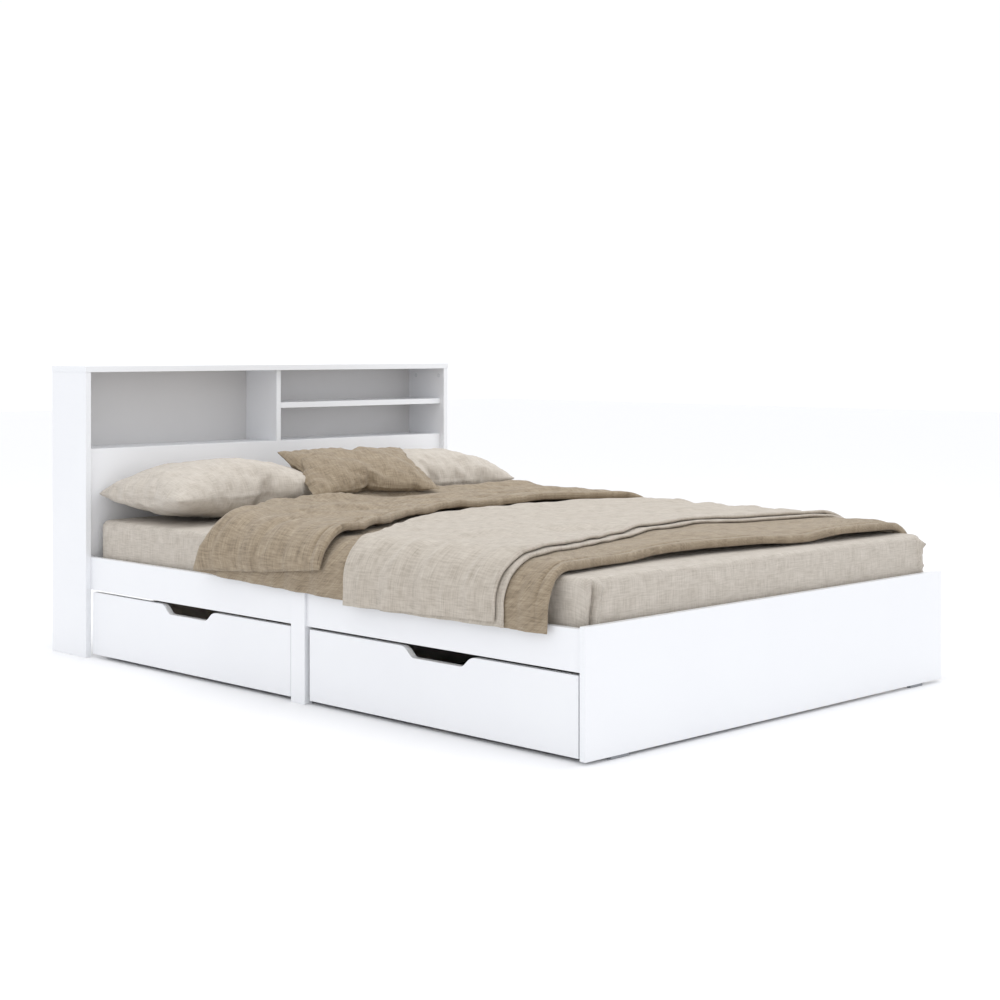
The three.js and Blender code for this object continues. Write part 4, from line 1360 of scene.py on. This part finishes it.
@dataclass
class Mattress:
    """Foam mattress in a fitted linen sheet, with gathered corners at the foot."""

    finishes: Finishes
    step: float = 12 * MM
    fine: float = 4 * MM
    fine_reach: float = 64 * MM
    corner: float = 48 * MM
    edge: float = 20 * MM

    def stations(self, half: float) -> np.ndarray:
        """Returns grid lines from one side to the other, closest together near both."""
        inner = half - self.fine_reach
        middle = np.linspace(-inner, inner, 2 * round(inner / self.step) + 1)
        rim = np.linspace(inner, half, round(self.fine_reach / self.fine) + 1)[1:]
        return np.concatenate([-rim[::-1], middle, rim])

    def build(self) -> None:
        """Builds the mattress and the sheet's corner tucks."""
        low, high = (np.array(c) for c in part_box("mattress"))
        half = (high - low)[:2] / 2
        middle = (high + low)[:2] / 2
        gx, gy = np.meshgrid(self.stations(float(half[0])), self.stations(float(half[1])), indexing="ij")
        index = np.arange(gx.size).reshape(gx.shape)
        rim = rim_of(index)
        height = float(high[2] - low[2])
        drops = np.linspace(0, height, round(height / self.step) + 1)[1:]
        flat = np.stack([gx.ravel(), gy.ravel()], axis=-1)
        rings = [np.concatenate([flat, np.zeros((gx.size, 1))], axis=1)]
        rings += [np.concatenate([flat[rim], np.full((len(rim), 1), d)], axis=1) for d in drops]
        rings.append(np.concatenate([flat, np.full((gx.size, 1), height)], axis=1))
        unfolded = np.concatenate(rings)
        points = self.folded(unfolded, half, height)
        faces = self.faces(index, rim, len(drops), gx.size)
        mesh = mesh_from("mattress_in_sheet", points + np.array([*middle, high[2]]), faces)
        work = bmesh.new()
        work.from_mesh(mesh)
        bottom = [v for v in work.verts if v.co.z < low[2] + 0.5 * MM]
        bmesh.ops.remove_doubles(work, verts=bottom, dist=0.05 * MM)
        work.to_mesh(mesh)
        work.free()
        self.press(mesh, half, middle, high[2])
        self.unwrap(mesh, high[2])
        smooth(mesh)
        piece = object_from("mattress_in_sheet", mesh)
        give(piece, self.finishes.sheet)
        place(piece, ROOT, "sheet_linen", "mattress")

    def outline(self, flat: np.ndarray, half: np.ndarray) -> np.ndarray:
        """Rounds the corners of a rectangle's points in plan.

        Args:
            flat: x and y of each point.
            half: half the width and length.

        Returns:
            The moved points.
        """
        inner = half - self.corner
        core = np.clip(flat, -inner, inner)
        off = flat - core
        reach = np.abs(off).max(axis=1, keepdims=True)
        length = np.maximum(np.linalg.norm(off, axis=1, keepdims=True), 1e-9)
        return core + off / length * reach

    def folded(self, unfolded: np.ndarray, half: np.ndarray, height: float) -> np.ndarray:
        """Bends the top's rim and the sides down over a rounded edge.

        Args:
            unfolded: x, y and drop of each point.
            half: half the width and length.
            height: the mattress's height.

        Returns:
            Points about the middle of the top.
        """
        flat, drop = unfolded[:, :2], unfolded[:, 2]
        inset = half - np.abs(flat)
        near = np.clip(self.edge - inset, 0, self.edge)
        bent = np.where(near >= self.edge - 1e-9, np.minimum(drop, self.edge)[:, None], 0)
        turn = (near + bent) / (2 * self.edge)
        moved = half - np.where(inset < self.edge, self.edge * (1 - np.sin(turn * math.pi / 2)), inset)
        plan = self.outline(np.sign(flat) * moved, half)
        most = turn.max(axis=1)
        z = np.where(drop > self.edge, -drop, -self.edge * (1 - np.cos(most * math.pi / 2)))
        return np.concatenate([plan, np.maximum(z, -height)[:, None]], axis=1)

    def faces(self, index: np.ndarray, rim: np.ndarray, rings: int, size: int) -> list:
        """Joins the points into faces.

        Args:
            index: point numbers of the top's grid.
            rim: point numbers round the top's border.
            rings: how many rings of points hang below the border.
            size: how many points the top's grid has.

        Returns:
            The faces of the top, the sides and the bottom.
        """
        top = quads_of(index, flipped=True)
        bottom = top[:, ::-1] + size + rings * len(rim)
        bands = []
        for k in range(rings):
            high = rim if k == 0 else size + (k - 1) * len(rim) + np.arange(len(rim))
            low = size + k * len(rim) + np.arange(len(rim))
            bands.append(np.stack([high, np.roll(high, -1), np.roll(low, -1), low], axis=-1))
        return np.concatenate([top, *bands, bottom]).tolist()

    def press(self, mesh: bpy.types.Mesh, half: np.ndarray, middle: np.ndarray, top: float) -> None:
        """Presses the sheet's creases and its corner tucks into the surface.

        Args:
            mesh: the mattress, in place.
            half: half its width and length.
            middle: x and y of its middle.
            top: height of its top.
        """
        points, normals = points_of(mesh), normals_of(mesh)
        x, y, z = (points - np.array([*middle, top])).T
        side = fade(np.abs(x), half[0] - 12 * MM, half[0] - 1 * MM)
        end = fade(np.abs(y), half[1] - 12 * MM, half[1] - 1 * MM)
        head = fade(y, 0.1, 0.75)
        slanted = Ripples(1.5 * MM, 34 * MM, 32, 9, 11, crease=0.4).at(y, z)
        upright = (Ripples(0.7 * MM, 90 * MM, 8, 10, 12).at(y, z) * side
                   + Ripples(1.1 * MM, 150 * MM, 14, 16, 13).at(x, z) * end)
        flat = Ripples(0.8 * MM, 160 * MM, 70, 40, 14).at(x, y)
        lift = slanted * side * (0.25 + 0.75 * head) + upright + flat
        lift *= fade(-z, 0, 6 * MM) * 0.6 + 0.4
        foot = y < 0
        corner_x, corner_y = half - self.corner
        around = np.arctan2(np.abs(x) - corner_x, -(y + corner_y)) * self.corner
        at_corner = foot & (np.abs(x) > corner_x - 3 * MM) & (y < -corner_y + 3 * MM)
        path = (0.075 + 0.025 * np.sin(z / (21 * MM))) * math.pi * self.corner
        off = around - path
        tall = fade(-z, 4 * MM, 26 * MM)
        ridge = 12 * MM * np.exp(-((off / (6 * MM)) ** 2))
        tuck = ridge - 15 * MM * np.exp(-(((off - 11 * MM) / (4.5 * MM)) ** 2))
        knot = 10 * MM * np.exp(-((off / (9 * MM)) ** 2) - (((z + 26 * MM) / (11 * MM)) ** 2))
        gathers = 3.0 * MM * np.sin(z / (4.6 * MM) + 1.4 * off / (9 * MM)) * np.exp(-((off / (24 * MM)) ** 2))
        lift = lift + np.where(at_corner, tuck * tall + knot + gathers * tall, 0)
        lift[normals[:, 2] < -0.5] = 0
        move_points(mesh, points + normals * lift[:, None])

    def unwrap(self, mesh: bpy.types.Mesh, top: float) -> None:
        """Gives each face the cloth's coordinates: the top as it lies, and each side folded out from it.

        Args:
            mesh: the mattress.
            top: height of its top.
        """
        layer = mesh.uv_layers.new(name="cloth")
        for face in mesh.polygons:
            normal = face.normal
            for loop in face.loop_indices:
                point = mesh.vertices[mesh.loops[loop].vertex_index].co
                drop = top - point.z
                if abs(normal.z) > 0.7:
                    layer.data[loop].uv = point.x, point.y
                elif abs(normal.x) > abs(normal.y):
                    layer.data[loop].uv = point.x + math.copysign(drop, normal.x), point.y
                else:
                    layer.data[loop].uv = point.x, point.y + math.copysign(drop, normal.y)


# ------------------------------------------------------------------ studio


@dataclass
class Studio:
    """Pale floor, soft light and the camera."""

    camera_at: tuple[float, float, float] = (-3.717, -3.829, 0.927)
    turn: float = 44.89
    lens: float = 65.62
    shift: float = -0.1518
    floor_size: float = 40.0
    dome_light: float = 1.04

    def build(self) -> None:
        """Builds the floor, the lights and the camera."""
        scene = bpy.context.scene
        half = self.floor_size / 2
        corners = np.array([(-half, -half, 0), (half, -half, 0), (half, half, 0), (-half, half, 0)])
        floor = object_from("studio_floor", mesh_from("studio_floor", corners, [(0, 1, 2, 3)]))
        material, _, shader = new_material("pale_paper_floor")
        shader.inputs["Base Color"].default_value = linear("FBFBFC")
        shader.inputs["Roughness"].default_value = 0.9
        give(floor, material)
        world = bpy.data.worlds.new("studio_world")
        world.use_nodes = True
        background = next(n for n in world.node_tree.nodes if n.type == "BACKGROUND")
        background.inputs["Color"].default_value = linear("FCFDFF")
        background.inputs["Strength"].default_value = self.dome_light
        scene.world = world
        self.lamp("top_light", (0.6, 0.2, 4.4), (0, 0, 0.4), 4.0, 68)
        self.lamp("key_light", (-3.4, -5.8, 2.4), (0, 0, 0.4), 3.0, 10)
        camera = bpy.data.objects.new("camera", bpy.data.cameras.new("camera"))
        scene.collection.objects.link(camera)
        camera.data.lens = self.lens
        camera.data.sensor_width = 36.0
        camera.data.shift_y = self.shift
        camera.data.clip_end = 100
        camera.location = self.camera_at
        camera.rotation_euler = (math.pi / 2, 0, -math.radians(self.turn))
        scene.camera = camera
        scene.view_settings.view_transform = "Standard"

    def lamp(self, name: str, at: tuple[float, float, float], target: tuple[float, float, float], size: float,
             power: float) -> None:
        """Adds one soft area light.

        Args:
            name: the light's name.
            at: where it hangs.
            target: what it faces.
            size: side of the square light.
            power: watts.
        """
        light = bpy.data.lights.new(name, "AREA")
        light.size = size
        light.energy = power
        holder = bpy.data.objects.new(name, light)
        holder.location = at
        holder.rotation_euler = (Vector(target) - Vector(at)).to_track_quat("-Z", "Y").to_euler()
        bpy.context.scene.collection.objects.link(holder)


# ------------------------------------------------------------------ the bed


BED_RIPPLES = [Ripples(4.0 * MM, 330 * MM, 30, 60, 41), Ripples(1.6 * MM, 150 * MM, 62, 25, 42, crease=0.3)]
DROP_RIPPLES = [Ripples(4.6 * MM, 95 * MM, 82, 10, 51, crease=0.3),
                Ripples(1.8 * MM, 40 * MM, 80, 14, 52, crease=0.4)]


def duvet_cover(finishes: Finishes) -> Cover:
    """Returns the duvet, with its head end folded back over itself."""
    return Cover(
        name="duvet_folded_back",
        material=finishes.taupe,
        slot="taupe_linen",
        upper_edge=[(-0.87, -0.206), (-0.76, -0.215), (-0.66, -0.19), (-0.46, -0.095), (-0.35, -0.036),
                    (-0.2, 0.029),
                    (-0.05, 0.07), (0.2, 0.105), (0.45, 0.09), (0.64, 0.03), (0.75, -0.05), (0.87, -0.1)],
        fold_edge=[(-0.85, 0.345), (-0.81, 0.325), (-0.76, 0.262), (-0.7, 0.24), (-0.64, 0.262),
                   (-0.56, 0.325),
                   (-0.44, 0.42), (-0.3, 0.475), (0.0, 0.488), (0.6, 0.485), (0.87, 0.45)],
        lower_edge=[(-0.87, -0.99), (-0.7, -0.998), (-0.46, -0.965), (-0.3, -0.946), (-0.1, -0.955),
                    (0.2, -0.995),
                    (0.6, -1.01), (0.87, -0.98)],
        upper_hem=[(0, 0.352), (0.3, 0.34), (0.7, 0.326), (1, 0.318)],
        lower_hem=[(0, 0.282), (0.5, 0.288), (0.93, 0.302), (1, 0.31)],
        upper_lift=(47 * MM, 19 * MM),
        lower_lift=(13 * MM, 5.5 * MM),
        thickness=(19 * MM, 8.5 * MM),
        fold_swell=14 * MM,
        top_ripples=[Ripples(7.0 * MM, 170 * MM, 70, 11, 21, crease=0.3),
                     Ripples(3.2 * MM, 66 * MM, 70, 12, 22, crease=0.5)],
        side_ripples=[Ripples(8.0 * MM, 80 * MM, 46, 12, 23, crease=0.5),
                      Ripples(3.4 * MM, 34 * MM, 52, 14, 24, crease=0.5)],
        edge_bead=0.15,
        band=34 * MM,
        nested=0.12,
        bed_ripples=BED_RIPPLES,
        drop_ripples=DROP_RIPPLES,
    )


def throw_cover(finishes: Finishes) -> Cover:
    """Returns the throw, folded double with its loose edges at the foot."""
    return Cover(
        name="throw_folded_double",
        material=finishes.throw,
        slot="throw_linen",
        upper_edge=[(-0.87, -0.835), (-0.76, -0.845), (-0.64, -0.86), (-0.5, -0.82), (-0.2, -0.7),
                    (0.0, -0.65),
                    (0.3, -0.63), (0.5, -0.67), (0.64, -0.75), (0.75, -0.83), (0.87, -0.86)],
        fold_edge=[(-0.87, -0.29), (-0.76, -0.312), (-0.66, -0.3), (-0.577, -0.253), (-0.42, -0.14),
                   (-0.27, -0.05),
                   (-0.17, -0.014), (0.2, 0.03), (0.45, 0.0), (0.64, -0.07), (0.75, -0.13), (0.87, -0.16)],
        lower_edge=[(-0.87, -0.862), (-0.76, -0.87), (-0.64, -0.884), (-0.5, -0.848), (-0.2, -0.73),
                    (0.0, -0.68),
                    (0.3, -0.66), (0.5, -0.7), (0.64, -0.78), (0.75, -0.86), (0.87, -0.885)],
        upper_hem=[(0, 0.296), (0.5, 0.288), (1, 0.28)],
        lower_hem=[(0, 0.284), (0.5, 0.281), (1, 0.28)],
        upper_lift=(37 * MM, 20.5 * MM),
        lower_lift=(28 * MM, 14 * MM),
        thickness=(4.5 * MM, 3.2 * MM),
        fold_swell=1 * MM,
        top_ripples=[Ripples(1.4 * MM, 120 * MM, 62, 25, 31),
                     Ripples(0.9 * MM, 60 * MM, 70, 22, 32, crease=0.4)],
        side_ripples=[Ripples(1.6 * MM, 70 * MM, 84, 9, 33, crease=0.3),
                      Ripples(0.8 * MM, 34 * MM, 80, 12, 34, crease=0.3)],
        edge_bead=1.3,
        band=13 * MM,
        nested=1.0,
        bed_ripples=BED_RIPPLES,
        drop_ripples=DROP_RIPPLES,
    )


def main() -> None:
    """Builds the bed in order and reports each piece."""
    finishes = Finishes()
    joinery = Joinery(finishes)
    kit = FixingKit()
    Headboard(joinery, kit).build()
    LOG.info("headboard done")
    PlatformFrame(joinery).build()
    SlatRoll(finishes, kit).build()
    LOG.info("platform done")
    for end in DrawerEnd:
        Drawer(end, joinery, kit).build()
        LOG.info("drawer %s done", end.value)
    Mattress(finishes).build()
    LOG.info("mattress done")
    for side in Side:
        node = f"pillow_{side.name.lower()}"
        Pillow(f"{node}_filled", node, finishes.pillow, "pillow_linen", 585 * MM, 410 * MM, 212 * MM, 0.7,
               sunk=0.28, seed=4 + side.value).build()
        LOG.info("%s done", node)
    Pillow("cushion_filled", "cushion", finishes.taupe, "taupe_linen", 445 * MM, 285 * MM, 110 * MM, 0.6,
           tilt=25, turn=-13, moved=(4 * MM, 0.0, -34 * MM), bow=0.05, seed=9).build()
    LOG.info("cushion done")
    duvet = duvet_cover(finishes).build()
    place(duvet, ROOT, "taupe_linen", "duvet")
    LOG.info("duvet done")
    cover = throw_cover(finishes)
    throw = cover.build()
    place(throw, ROOT, "throw_linen", "throw")
    LOG.info("throw done, cut %.2f x %.2f m", *cover.cut)
    Studio().build()


if __name__ == "__main__":
    logging.basicConfig(level=logging.INFO)
    main()
